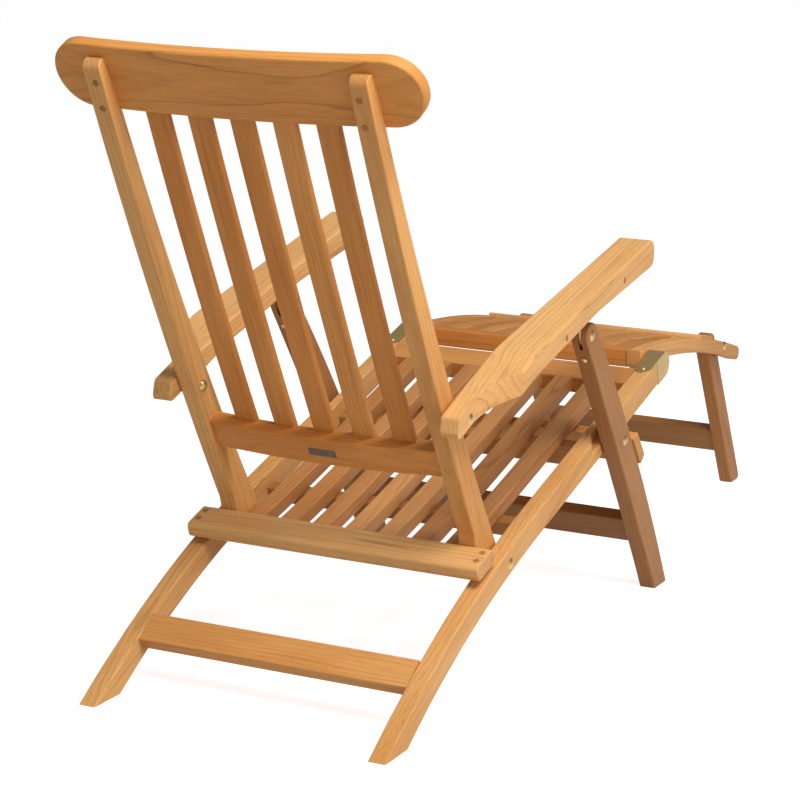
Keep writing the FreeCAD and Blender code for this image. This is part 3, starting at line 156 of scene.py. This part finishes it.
class Nodes:
    """Small helper that places and joins shader nodes in one tree."""

    def __init__(self, tree: bpy.types.NodeTree) -> None:
        """Start with the tree to fill."""
        self.tree = tree
        self.entry: Optional[bpy.types.Node] = None
        self.exit: Optional[bpy.types.Node] = None

    def add(self, kind: str, **settings: object) -> bpy.types.Node:
        """Place a node.

        Args:
            kind: Blender's node type.
            settings: Node properties by name.

        Returns:
            The new node.
        """
        item = self.tree.nodes.new(kind)
        for name, value in settings.items():
            setattr(item, name, value)
        return item

    def join(self, source: object, target: object) -> None:
        """Link an output socket to an input socket."""
        self.tree.links.new(source, target)

    def math(self, operation: str, first: object, second: object = 0.0) -> object:
        """Add a Math node.

        Args:
            operation: Blender's operation name.
            first: Socket or number.
            second: Socket or number.

        Returns:
            The node's output socket.
        """
        item = self.add("ShaderNodeMath", operation=operation)
        for slot, value in enumerate((first, second)):
            if isinstance(value, (int, float)):
                item.inputs[slot].default_value = value
            else:
                self.join(value, item.inputs[slot])
        return item.outputs[0]

    def stretched(self, vector: object, factors: Sequence[float]) -> object:
        """Scale a vector unevenly and return the new vector socket."""
        item = self.add("ShaderNodeVectorMath", operation="MULTIPLY")
        self.join(vector, item.inputs[0])
        item.inputs[1].default_value = factors
        return item.outputs[0]

    def noise(self, vector: object, speckle: Speckle) -> object:
        """Add a noise texture on a vector and return its value socket."""
        item = self.add("ShaderNodeTexNoise")
        self.join(vector, item.inputs["Vector"])
        item.inputs["Scale"].default_value = speckle.scale
        item.inputs["Detail"].default_value = speckle.detail
        item.inputs["Roughness"].default_value = speckle.rough
        return item.outputs["Fac"]

    def drawn_out(self, vector: object, speckle: Speckle) -> object:
        """Add a noise that is drawn out along the fibres and return its value socket."""
        return self.noise(self.stretched(vector, (speckle.along, 1.0, 1.0)), speckle)

    def share(self, value: object, span: Span, amount: float) -> object:
        """Map a value over a span to 0..1, times an amount, and return the socket."""
        return self.math("MULTIPLY", self.ramp(value, *span), amount)

    def ramp(self, value: object, low: float, high: float) -> object:
        """Map a value from low..high to 0..1, smoothly, and return the socket."""
        item = self.add("ShaderNodeMapRange", interpolation_type="SMOOTHSTEP")
        self.join(value, item.inputs["Value"])
        item.inputs["From Min"].default_value = low
        item.inputs["From Max"].default_value = high
        return item.outputs["Result"]

    def mix(self, share: object, first: object, second: object) -> object:
        """Blend two colours by a share and return the colour socket."""
        item = self.add("ShaderNodeMix", data_type="RGBA")
        for slot, value in ((item.inputs[0], share), (item.inputs[6], first), (item.inputs[7], second)):
            if isinstance(value, (int, float)):
                slot.default_value = value
            elif isinstance(value, tuple):
                slot.default_value = (*value, 1.0)
            else:
                self.join(value, slot)
        return item.outputs[2]


def new_group(name: str, inputs: Sequence[Tuple[str, str]], outputs: Sequence[Tuple[str, str]]) -> Nodes:
    """Make an empty shader node group.

    Args:
        name: The group's name.
        inputs: Name and socket type of each input.
        outputs: Name and socket type of each output.

    Returns:
        A helper on the group's tree, with its entry and exit nodes as attributes.
    """
    tree = bpy.data.node_groups.new(name, "ShaderNodeTree")
    for title, kind in inputs:
        tree.interface.new_socket(name=title, in_out="INPUT", socket_type=kind)
    for title, kind in outputs:
        tree.interface.new_socket(name=title, in_out="OUTPUT", socket_type=kind)
    made = Nodes(tree)
    made.entry = made.add("NodeGroupInput")
    made.exit = made.add("NodeGroupOutput")
    return made


def teak_figure() -> bpy.types.NodeTree:
    """Group that draws growth rings, fibres, pores and end grain.

    Its vector runs along the fibres in X, with the heart of the log at Y = Z = 0.

    Returns:
        The group's tree.
    """
    g = new_group(
        "teak_figure",
        [("Vector", "NodeSocketVector"), ("Across", "NodeSocketFloat"), ("Pale", "NodeSocketColor"),
         ("Warm", "NodeSocketColor"), ("Dark", "NodeSocketColor"), ("Board tone", "NodeSocketFloat"),
         ("Dull", "NodeSocketFloat")],
        [("Color", "NodeSocketColor"), ("Roughness", "NodeSocketFloat"), ("Height", "NodeSocketFloat")],
    )
    figure = TeakFigure()
    place = g.entry.outputs["Vector"]
    pale = g.entry.outputs["Pale"]
    dark = g.entry.outputs["Dark"]
    wander = g.add("ShaderNodeTexNoise", noise_dimensions="3D")
    g.join(g.stretched(place, (figure.wander.along, 1.0, 1.0)), wander.inputs["Vector"])
    wander.inputs["Scale"].default_value = figure.wander.scale
    wander.inputs["Detail"].default_value = figure.wander.detail
    shift = g.add("ShaderNodeVectorMath", operation="MULTIPLY_ADD")
    g.join(wander.outputs["Color"], shift.inputs[0])
    shift.inputs[1].default_value = (0.0, figure.wander_reach, figure.wander_reach)
    g.join(place, shift.inputs[2])
    flat = g.add("ShaderNodeVectorMath", operation="LENGTH")
    g.join(g.stretched(shift.outputs[0], (0.0, 1.0, 1.0)), flat.inputs[0])
    years = g.math("DIVIDE", flat.outputs["Value"], figure.ring_width)
    drift = g.math("MULTIPLY", g.drawn_out(place, figure.ring_noise), figure.ring_drift)
    age = g.math("ADD", years, drift)
    season = g.math("FRACT", age)
    late_end = g.math("SUBTRACT", 1.0, g.ramp(season, *figure.ring_fall))
    late = g.math("MULTIPLY", g.ramp(season, *figure.ring_rise), late_end)
    year = g.add("ShaderNodeTexWhiteNoise", noise_dimensions="1D")
    g.join(g.math("FLOOR", age), year.inputs["W"])
    chosen = g.ramp(year.outputs["Value"], *figure.line_years)
    inked = g.math("MULTIPLY", chosen, g.ramp(season, *figure.line_rise))
    line_end = g.math("SUBTRACT", 1.0, g.ramp(season, *figure.line_fall))
    line = g.math("MULTIPLY", inked, line_end)
    fibre = g.drawn_out(place, figure.fibre)
    pores = g.drawn_out(place, figure.pores)
    streak = g.drawn_out(place, figure.streak)
    cloud = g.share(g.drawn_out(place, figure.cloud), figure.cloud_span, figure.cloud_share)
    tone = g.math("ADD", cloud, g.entry.outputs["Board tone"])
    color = g.mix(g.ramp(tone, 0.0, 1.0), pale, g.entry.outputs["Warm"])
    color = g.mix(g.math("MULTIPLY", late, figure.ring_share), color, dark)
    color = g.mix(g.math("MULTIPLY", line, figure.line_share), color, dark)
    color = g.mix(g.share(fibre, figure.fibre_dark, figure.fibre_dark_share), color, dark)
    color = g.mix(g.share(fibre, figure.fibre_pale, figure.fibre_pale_share), color, pale)
    color = g.mix(g.share(streak, figure.streak_span, figure.streak_share), color, dark)
    color = g.mix(g.share(pores, figure.pore_span, figure.pore_share), color, dark)
    color = g.mix(g.share(g.entry.outputs["Across"], figure.end_span, figure.end_share), color, dark)
    g.join(color, g.exit.inputs["Color"])
    dull = g.share(fibre, figure.fibre_dull, figure.fibre_dull_share)
    g.join(g.math("ADD", dull, g.entry.outputs["Dull"]), g.exit.inputs["Roughness"])
    raised = g.math("MULTIPLY", fibre, figure.fibre_height)
    relief = g.math("SUBTRACT", raised, g.share(pores, figure.pore_span, figure.pore_depth))
    g.join(relief, g.exit.inputs["Height"])
    return g.tree


def eased_edge() -> bpy.types.NodeTree:
    """Group that lightens sanded edges: a colour in, the same colour paler along edges out.

    Returns:
        The group's tree.
    """
    g = new_group(
        "eased_edge",
        [("Color", "NodeSocketColor"), ("Edge colour", "NodeSocketColor"), ("Reach", "NodeSocketFloat")],
        [("Color", "NodeSocketColor")],
    )
    soft = g.add("ShaderNodeBevel", samples=4)
    g.join(g.entry.outputs["Reach"], soft.inputs["Radius"])
    true = g.add("ShaderNodeNewGeometry")
    match = g.add("ShaderNodeVectorMath", operation="DOT_PRODUCT")
    g.join(soft.outputs[0], match.inputs[0])
    g.join(true.outputs["Normal"], match.inputs[1])
    worn = g.share(match.outputs["Value"], EDGE_TURN, EDGE_SHARE)
    lit = g.mix(worn, g.entry.outputs["Color"], g.entry.outputs["Edge colour"])
    g.join(lit, g.exit.inputs["Color"])
    return g.tree


def brass_tarnish() -> bpy.types.NodeTree:
    """Group that draws brushed brass with cloudy tarnish.

    Returns:
        The group's tree.
    """
    g = new_group(
        "brass_tarnish",
        [("Vector", "NodeSocketVector"), ("Bright", "NodeSocketColor"), ("Tarnish", "NodeSocketColor"),
         ("Dull", "NodeSocketFloat")],
        [("Color", "NodeSocketColor"), ("Roughness", "NodeSocketFloat"), ("Height", "NodeSocketFloat")],
    )
    place = g.entry.outputs["Vector"]
    figure = BrassFigure()
    cloud = g.share(g.noise(place, figure.cloud), figure.cloud_span, figure.cloud_share)
    specks = g.share(g.noise(place, figure.specks), figure.speck_span, figure.speck_share)
    brushed = g.noise(g.stretched(place, figure.brush_lines), figure.brush)
    patina = g.math("ADD", cloud, specks)
    g.join(g.mix(patina, g.entry.outputs["Bright"], g.entry.outputs["Tarnish"]), g.exit.inputs["Color"])
    from_patina = g.math("MULTIPLY", patina, figure.patina_dull)
    from_brush = g.math("MULTIPLY", brushed, figure.brush_dull)
    rough = g.math("ADD", from_patina, from_brush)
    g.join(g.math("ADD", rough, g.entry.outputs["Dull"]), g.exit.inputs["Roughness"])
    g.join(brushed, g.exit.inputs["Height"])
    return g.tree


def blank_material(name: str) -> Tuple[bpy.types.Material, Nodes, bpy.types.Node]:
    """Make a node material with only a Principled BSDF.

    Args:
        name: The material's name.

    Returns:
        The material, a helper on its tree, and the shader node.
    """
    material = bpy.data.materials.new(name)
    material.use_nodes = True
    made = Nodes(material.node_tree)
    shader = [item for item in material.node_tree.nodes if item.type == "BSDF_PRINCIPLED"][0]
    return material, made, shader


@dataclass(frozen=True)
class Teak:
    """Finish of one board: where its log's heart lies and how its fibres run."""

    tone: Tone = Tone.HONEY
    grain: Grain = Grain.ACROSS
    bump: float = 0.00016
    shine: float = 0.28

    def material(self, name: str) -> bpy.types.Material:
        """Make the board's own material.

        Args:
            name: The node that wears it, which also seeds its figure.

        Returns:
            The material.
        """
        material, n, shader = blank_material("teak_" + name)
        chance = random.Random(name)
        low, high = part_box(name)
        slope = self.grain.value
        turned = Matrix.Identity(3)
        turn = (0.0, 0.0, 0.0)
        fibres = Vector((1.0, 0.0, 0.0))
        if slope is not None:
            turn = (math.radians(-slope), 0.0, math.radians(-90.0))
            turned = Matrix.Rotation(turn[2], 3, "Z") @ Matrix.Rotation(turn[0], 3, "X")
            fibres = Vector((0.0, math.cos(math.radians(slope)), math.sin(math.radians(slope))))
        middle = turned @ ((low + high) / 2)
        away = chance.uniform(0.0, 2.0 * math.pi)
        heart = chance.uniform(*HEART_AWAY)
        spot = n.add("ShaderNodeMapping")
        spot.inputs["Rotation"].default_value = turn
        spot.inputs["Location"].default_value = (
            chance.uniform(*LOG_START),
            heart * math.cos(away) - middle.y,
            heart * math.sin(away) - middle.z,
        )
        where = n.add("ShaderNodeTexCoord")
        n.join(where.outputs["Object"], spot.inputs["Vector"])
        facing = n.add("ShaderNodeVectorMath", operation="DOT_PRODUCT")
        n.join(where.outputs["Normal"], facing.inputs[0])
        facing.inputs[1].default_value = fibres
        figure = n.add("ShaderNodeGroup", node_tree=bpy.data.node_groups["teak_figure"])
        n.join(spot.outputs[0], figure.inputs["Vector"])
        n.join(n.math("ABSOLUTE", facing.outputs["Value"]), figure.inputs["Across"])
        tone = self.tone.value
        for title, value in (("Pale", tone.pale), ("Warm", tone.warm), ("Dark", tone.dark)):
            figure.inputs[title].default_value = (*value, 1.0)
        figure.inputs["Board tone"].default_value = chance.uniform(*BOARD_TONE)
        figure.inputs["Dull"].default_value = tone.roughness
        edge = n.add("ShaderNodeGroup", node_tree=bpy.data.node_groups["eased_edge"])
        n.join(figure.outputs["Color"], edge.inputs["Color"])
        edge.inputs["Edge colour"].default_value = (*tone.pale, 1.0)
        edge.inputs["Reach"].default_value = EDGE_REACH
        n.join(edge.outputs["Color"], shader.inputs["Base Color"])
        n.join(figure.outputs["Roughness"], shader.inputs["Roughness"])
        bump = n.add("ShaderNodeBump")
        bump.inputs["Distance"].default_value = self.bump
        n.join(figure.outputs["Height"], bump.inputs["Height"])
        n.join(bump.outputs[0], shader.inputs["Normal"])
        shader.inputs["Specular IOR Level"].default_value = self.shine
        return material


@dataclass(frozen=True)
class Brass:
    """Finish of the metalwork."""

    bright: Colour = (0.62, 0.45, 0.20)
    tarnish: Colour = (0.47, 0.34, 0.145)
    dull: float = 0.42
    bump: float = 0.00003

    def material(self, name: str) -> bpy.types.Material:
        """Make the metal's material.

        Args:
            name: Part of the material's name.

        Returns:
            The material.
        """
        material, n, shader = blank_material("brass_" + name)
        where = n.add("ShaderNodeTexCoord")
        metal = n.add("ShaderNodeGroup", node_tree=bpy.data.node_groups["brass_tarnish"])
        n.join(where.outputs["Object"], metal.inputs["Vector"])
        metal.inputs["Bright"].default_value = (*self.bright, 1.0)
        metal.inputs["Tarnish"].default_value = (*self.tarnish, 1.0)
        metal.inputs["Dull"].default_value = self.dull
        n.join(metal.outputs["Color"], shader.inputs["Base Color"])
        n.join(metal.outputs["Roughness"], shader.inputs["Roughness"])
        bump = n.add("ShaderNodeBump")
        bump.inputs["Distance"].default_value = self.bump
        n.join(metal.outputs["Height"], bump.inputs["Height"])
        n.join(bump.outputs[0], shader.inputs["Normal"])
        shader.inputs["Metallic"].default_value = 1.0
        return material


@dataclass(frozen=True)
class DarkPlate:
    """Finish of the small blank plate on the back's lower rail."""

    face: Colour = (0.085, 0.06, 0.042)
    rubbed: Colour = (0.20, 0.145, 0.095)
    mottle: Speckle = Speckle(260.0, 4.0, 0.6)
    rubbed_span: Span = (0.45, 0.75)
    dull: float = 0.3
    mottle_dull: float = 0.25
    metallic: float = 0.6

    def material(self, name: str) -> bpy.types.Material:
        """Make the plate's material.

        Args:
            name: Part of the material's name.

        Returns:
            The material.
        """
        material, n, shader = blank_material("dark_plate_" + name)
        where = n.add("ShaderNodeTexCoord")
        mottle = n.noise(where.outputs["Object"], self.mottle)
        rubbed = n.ramp(mottle, *self.rubbed_span)
        n.join(n.mix(rubbed, self.face, self.rubbed), shader.inputs["Base Color"])
        rough = n.math("ADD", n.math("MULTIPLY", mottle, self.mottle_dull), self.dull)
        n.join(rough, shader.inputs["Roughness"])
        shader.inputs["Metallic"].default_value = self.metallic
        return material


BRASS = Brass()
AGED_BRASS = Brass(bright=(0.60, 0.40, 0.16), tarnish=(0.33, 0.21, 0.08), dull=0.26)


def dress(name: str, material: bpy.types.Material) -> None:
    """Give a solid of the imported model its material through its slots.

    Args:
        name: The solid's node.
        material: The material that it wears.
    """
    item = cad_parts[name]
    if not item.material_slots:
        item.data.materials.append(material)
    for slot in item.material_slots:
        slot.material = material


@dataclass
class SubAssembly:
    """A body of the chair: its boards with their finishes, and its metalwork."""

    body: str = ""
    boards: Dict[str, Teak] = field(default_factory=dict)
    metal: Dict[str, Brass] = field(default_factory=dict)

    def build(self) -> int:
        """Dress every piece.

        Returns:
            How many pieces were finished.
        """
        for name, finish in self.boards.items():
            dress(name, finish.material(name))
        for name, finish in self.metal.items():
            dress(name, finish.material(name))
        return len(self.boards) + len(self.metal) + self.fittings()

    def fittings(self) -> int:
        """Dress pieces that are neither board nor brass, and return their number."""
        return 0


def row(stem: str, count: int, finish: Teak) -> Dict[str, Teak]:
    """Finishes of numbered boards.

    Args:
        stem: Name without its number.
        count: How many boards there are.
        finish: The finish that they share.

    Returns:
        Finish by node name.
    """
    return {"%s_%d" % (stem, index + 1): finish for index in range(count)}


def pair(stem: str, finish: Teak) -> Dict[str, Teak]:
    """Finishes of a left and a right piece.

    Args:
        stem: Name without its side.
        finish: The finish that they share.

    Returns:
        Finish by node name.
    """
    return {stem + "_left": finish, stem + "_right": finish}


@dataclass
class SeatFrame(SubAssembly):
    """Side rails, seat slats, cross bar, stretcher and hinge caps."""

    body: str = "seat_frame"

    def __post_init__(self) -> None:
        """List the pieces with their finishes."""
        self.boards = {
            **pair("side_rail", Teak(Tone.GOLD, Grain.RAIL)),
            "seat_front_rail": Teak(Tone.HONEY, Grain.ACROSS),
            # The cross rails wear the darker umber copy of the teak: painted shade under the seat.
            "seat_cross_rail_front": Teak(Tone.UMBER_PAINTED_SHADE, Grain.ACROSS),
            "seat_cross_rail_rear": Teak(Tone.UMBER_PAINTED_SHADE, Grain.ACROSS),
            # The seat slats wear the darker russet copy of the teak: painted shade.
            **row("seat_slat", 7, Teak(Tone.RUSSET_PAINTED_SHADE, Grain.SEAT)),
            "rear_cross_bar": Teak(Tone.GOLD, Grain.ACROSS),
            "rear_bar_plugs": Teak(Tone.PLUG, Grain.BAR),
            "rear_stretcher": Teak(Tone.HONEY, Grain.ACROSS),
        }
        self.metal = {name: BRASS for name in ("hinge_cap_left", "hinge_cap_right", "hinge_screws")}
        self.metal["back_pivot_bolts"] = AGED_BRASS
        self.metal["leg_pivot_bolts"] = AGED_BRASS


@dataclass
class Backrest(SubAssembly):
    """Stiles, slats, headboard, lower rail and the blank plate."""

    body: str = "backrest"

    def __post_init__(self) -> None:
        """List the pieces with their finishes."""
        self.boards = {
            **pair("back_stile", Teak(Tone.HONEY, Grain.BACK)),
            # The back slats, headboard and lower rail wear the darker, more orange amber copy of the
            # teak: partly the wood's colour, partly painted shade on the back's rear face.
            **row("back_slat", 5, Teak(Tone.AMBER_AND_PAINTED_SHADE, Grain.BACK)),
            "headboard": Teak(Tone.AMBER_AND_PAINTED_SHADE, Grain.ACROSS),
            "back_lower_rail": Teak(Tone.AMBER_AND_PAINTED_SHADE, Grain.ACROSS),
            "back_stile_plugs": Teak(Tone.PLUG, Grain.ACROSS),
        }
        self.metal = {"arm_pivot_bolts": AGED_BRASS}

    def fittings(self) -> int:
        """Dress the blank plate."""
        dress("blank_plate", DarkPlate().material("rail"))
        return 1


@dataclass
class Arm(SubAssembly):
    """One arm with its tongue and plugs."""

    side: str = "left"

    def __post_init__(self) -> None:
        """List the pieces with their finishes."""
        self.body = self.side + "_arm"
        self.boards = {
            "arm_" + self.side: Teak(Tone.GOLD, Grain.ARM),
            "arm_plugs_" + self.side: Teak(Tone.PLUG, Grain.BACK),
        }
        self.metal = {"arm_tongue_" + self.side: AGED_BRASS}


@dataclass
class FrontLegFrame(SubAssembly):
    """Front legs, their stretcher and the stop bar."""

    body: str = "front_leg_frame"

    def __post_init__(self) -> None:
        """List the pieces with their finishes."""
        self.boards = {
            # The legs and their stretcher wear the darker umber copy of the teak: painted shade below
            # the arms.
            **pair("front_leg", Teak(Tone.UMBER_PAINTED_SHADE, Grain.LEG)),
            "front_leg_stretcher": Teak(Tone.UMBER_PAINTED_SHADE, Grain.ACROSS),
            "stop_bar": Teak(Tone.HONEY, Grain.ACROSS),
        }
        self.metal = {"leg_screws": AGED_BRASS, "leg_top_bolts": AGED_BRASS}


@dataclass
class Footrest(SubAssembly):
    """Arched rails, slats and end slat of the footrest."""

    body: str = "footrest"

    def __post_init__(self) -> None:
        """List the pieces with their finishes."""
        self.boards = {
            **pair("footrest_rail", Teak(Tone.HONEY, Grain.FOOTREST)),
            **row("footrest_slat", 6, Teak(Tone.HONEY, Grain.FOOTREST)),
            # The rear rail wears the darker, more orange amber copy of the teak: partly the wood's
            # colour, partly painted shade.
            "footrest_rear_rail": Teak(Tone.AMBER_AND_PAINTED_SHADE, Grain.ACROSS),
            "footrest_end_slat": Teak(Tone.GOLD, Grain.ACROSS),
        }
        self.metal = {"footrest_hinge_pins": BRASS, "footrest_leg_bolts": AGED_BRASS}


@dataclass
class FootrestLegFrame(SubAssembly):
    """The footrest's folding legs."""

    body: str = "footrest_leg_frame"

    def __post_init__(self) -> None:
        """List the pieces with their finishes."""
        self.boards = {
            # The footrest legs wear the darker russet copy of the teak: painted shade.
            **pair("footrest_leg", Teak(Tone.RUSSET_PAINTED_SHADE, Grain.FOOTREST_LEG)),
            # The stretcher wears the darker umber copy of the teak: painted shade low under the
            # footrest.
            "footrest_leg_stretcher": Teak(Tone.UMBER_PAINTED_SHADE, Grain.ACROSS),
        }


@dataclass(frozen=True)
class SoftBox:
    """A square lamp: place and aim in metres, width in metres, power in watts."""

    name: str
    place: Point
    power: float
    width: float = 1.6
    aim: Point = (0.0, 0.2, 0.4)

    def hang(self) -> None:
        """Add the lamp to the scene, turned to its aim."""
        data = bpy.data.lights.new(self.name, "AREA")
        data.shape = "SQUARE"
        data.size = self.width
        data.energy = self.power
        item = bpy.data.objects.new(self.name, data)
        place = Vector(self.place)
        turn = (Vector(self.aim) - place).to_track_quat("-Z", "Y").to_matrix().to_4x4()
        item.matrix_world = Matrix.Translation(place) @ turn
        bpy.context.scene.collection.objects.link(item)


@dataclass(frozen=True)
class Studio:
    """Camera, floor and light."""

    azimuth: float = 206.17
    elevation: float = 12.64
    roll: float = 1.05
    position: Point = (-1.7040, 3.75386, 1.2589)
    sensor_width: float = 36.0
    sight: float = 200.0
    focal_pixels: float = 2460.0
    frame_pixels: float = 800.0
    centre_pixels: Tuple[float, float] = (400.3, 398.5)
    floor_reach: float = 60.0
    floor_grey: float = 0.62
    floor_lift: float = 0.80
    sky_shown: float = 1.0
    sky_fill: float = 0.30
    boxes: Tuple[SoftBox, ...] = (
        SoftBox("key_box", (-1.7, 1.7, 3.5), 118.0),
        SoftBox("side_box", (-3.0, 1.2, 1.5), 26.0),
    )

    def camera(self) -> None:
        """Create the camera at the photo's viewpoint."""
        data = bpy.data.cameras.new("camera")
        data.sensor_width = self.sensor_width
        data.lens = self.focal_pixels / self.frame_pixels * data.sensor_width
        data.shift_x = (self.frame_pixels / 2 - self.centre_pixels[0]) / self.frame_pixels
        data.shift_y = (self.centre_pixels[1] - self.frame_pixels / 2) / self.frame_pixels
        data.clip_end = self.sight
        az = math.radians(self.azimuth)
        el = math.radians(self.elevation)
        roll = math.radians(self.roll)
        back = Vector((math.sin(az) * math.cos(el), -math.cos(az) * math.cos(el), math.sin(el)))
        level = Vector((0, 0, 1)).cross(back).normalized()
        rise = back.cross(level)
        right = level * math.cos(roll) + rise * math.sin(roll)
        up = rise * math.cos(roll) - level * math.sin(roll)
        item = bpy.data.objects.new("camera", data)
        turn = Matrix((right, up, back)).transposed().to_4x4()
        item.matrix_world = Matrix.Translation(Vector(self.position)) @ turn
        bpy.context.scene.collection.objects.link(item)
        bpy.context.scene.camera = item

    def floor(self) -> None:
        """Lay a plain pale floor that keeps the chair's soft shadow."""
        mesh = bpy.data.meshes.new("floor")
        bm = bmesh.new()
        bmesh.ops.create_grid(bm, x_segments=1, y_segments=1, size=self.floor_reach)
        bm.to_mesh(mesh)
        bm.free()
        item = bpy.data.objects.new("floor", mesh)
        bpy.context.scene.collection.objects.link(item)
        material = bpy.data.materials.new("floor_white")
        material.use_nodes = True
        n = Nodes(material.node_tree)
        n.tree.nodes.clear()
        out = n.add("ShaderNodeOutputMaterial")
        plain = n.add("ShaderNodeBsdfDiffuse")
        grey = self.floor_grey
        plain.inputs["Color"].default_value = (grey, grey, grey, 1.0)
        lift = n.add("ShaderNodeEmission")
        lift.inputs["Strength"].default_value = self.floor_lift
        none = n.add("ShaderNodeEmission")
        none.inputs["Strength"].default_value = 0.0
        ray = n.add("ShaderNodeLightPath")
        seen = n.math("MAXIMUM", ray.outputs["Is Camera Ray"], ray.outputs["Is Glossy Ray"])
        choice = n.add("ShaderNodeMixShader")
        n.join(seen, choice.inputs[0])
        n.join(none.outputs[0], choice.inputs[1])
        n.join(lift.outputs[0], choice.inputs[2])
        total = n.add("ShaderNodeAddShader")
        n.join(plain.outputs[0], total.inputs[0])
        n.join(choice.outputs[0], total.inputs[1])
        n.join(total.outputs[0], out.inputs["Surface"])
        mesh.materials.append(material)

    def light(self) -> None:
        """Set the soft sky and the soft boxes."""
        world = bpy.data.worlds.new("studio")
        bpy.context.scene.world = world
        world.use_nodes = True
        n = Nodes(world.node_tree)
        sky = [item for item in world.node_tree.nodes if item.type == "BACKGROUND"][0]
        ray = n.add("ShaderNodeLightPath")
        shown = n.math("MAXIMUM", ray.outputs["Is Camera Ray"], ray.outputs["Is Transmission Ray"])
        sky.inputs["Color"].default_value = (1.0, 1.0, 1.0, 1.0)
        more = n.math("MULTIPLY", shown, self.sky_shown - self.sky_fill)
        n.join(n.math("ADD", more, self.sky_fill), sky.inputs["Strength"])
        for box in self.boxes:
            box.hang()

    def build(self) -> None:
        """Set up the whole studio."""
        self.camera()
        self.floor()
        self.light()
        bpy.context.scene.view_settings.view_transform = "Standard"


def main() -> None:
    """Build the looks in order and report each piece."""
    logging.basicConfig(level=logging.INFO, format="%(name)s: %(message)s")
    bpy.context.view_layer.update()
    teak_figure()
    eased_edge()
    brass_tarnish()
    parts: List[SubAssembly] = [
        SeatFrame(),
        Backrest(),
        Arm(side="left"),
        Arm(side="right"),
        FrontLegFrame(),
        Footrest(),
        FootrestLegFrame(),
    ]
    for part in parts:
        log.info("%s: %d pieces finished", part.body, part.build())
    Studio().build()


if __name__ == "__main__":
    main()
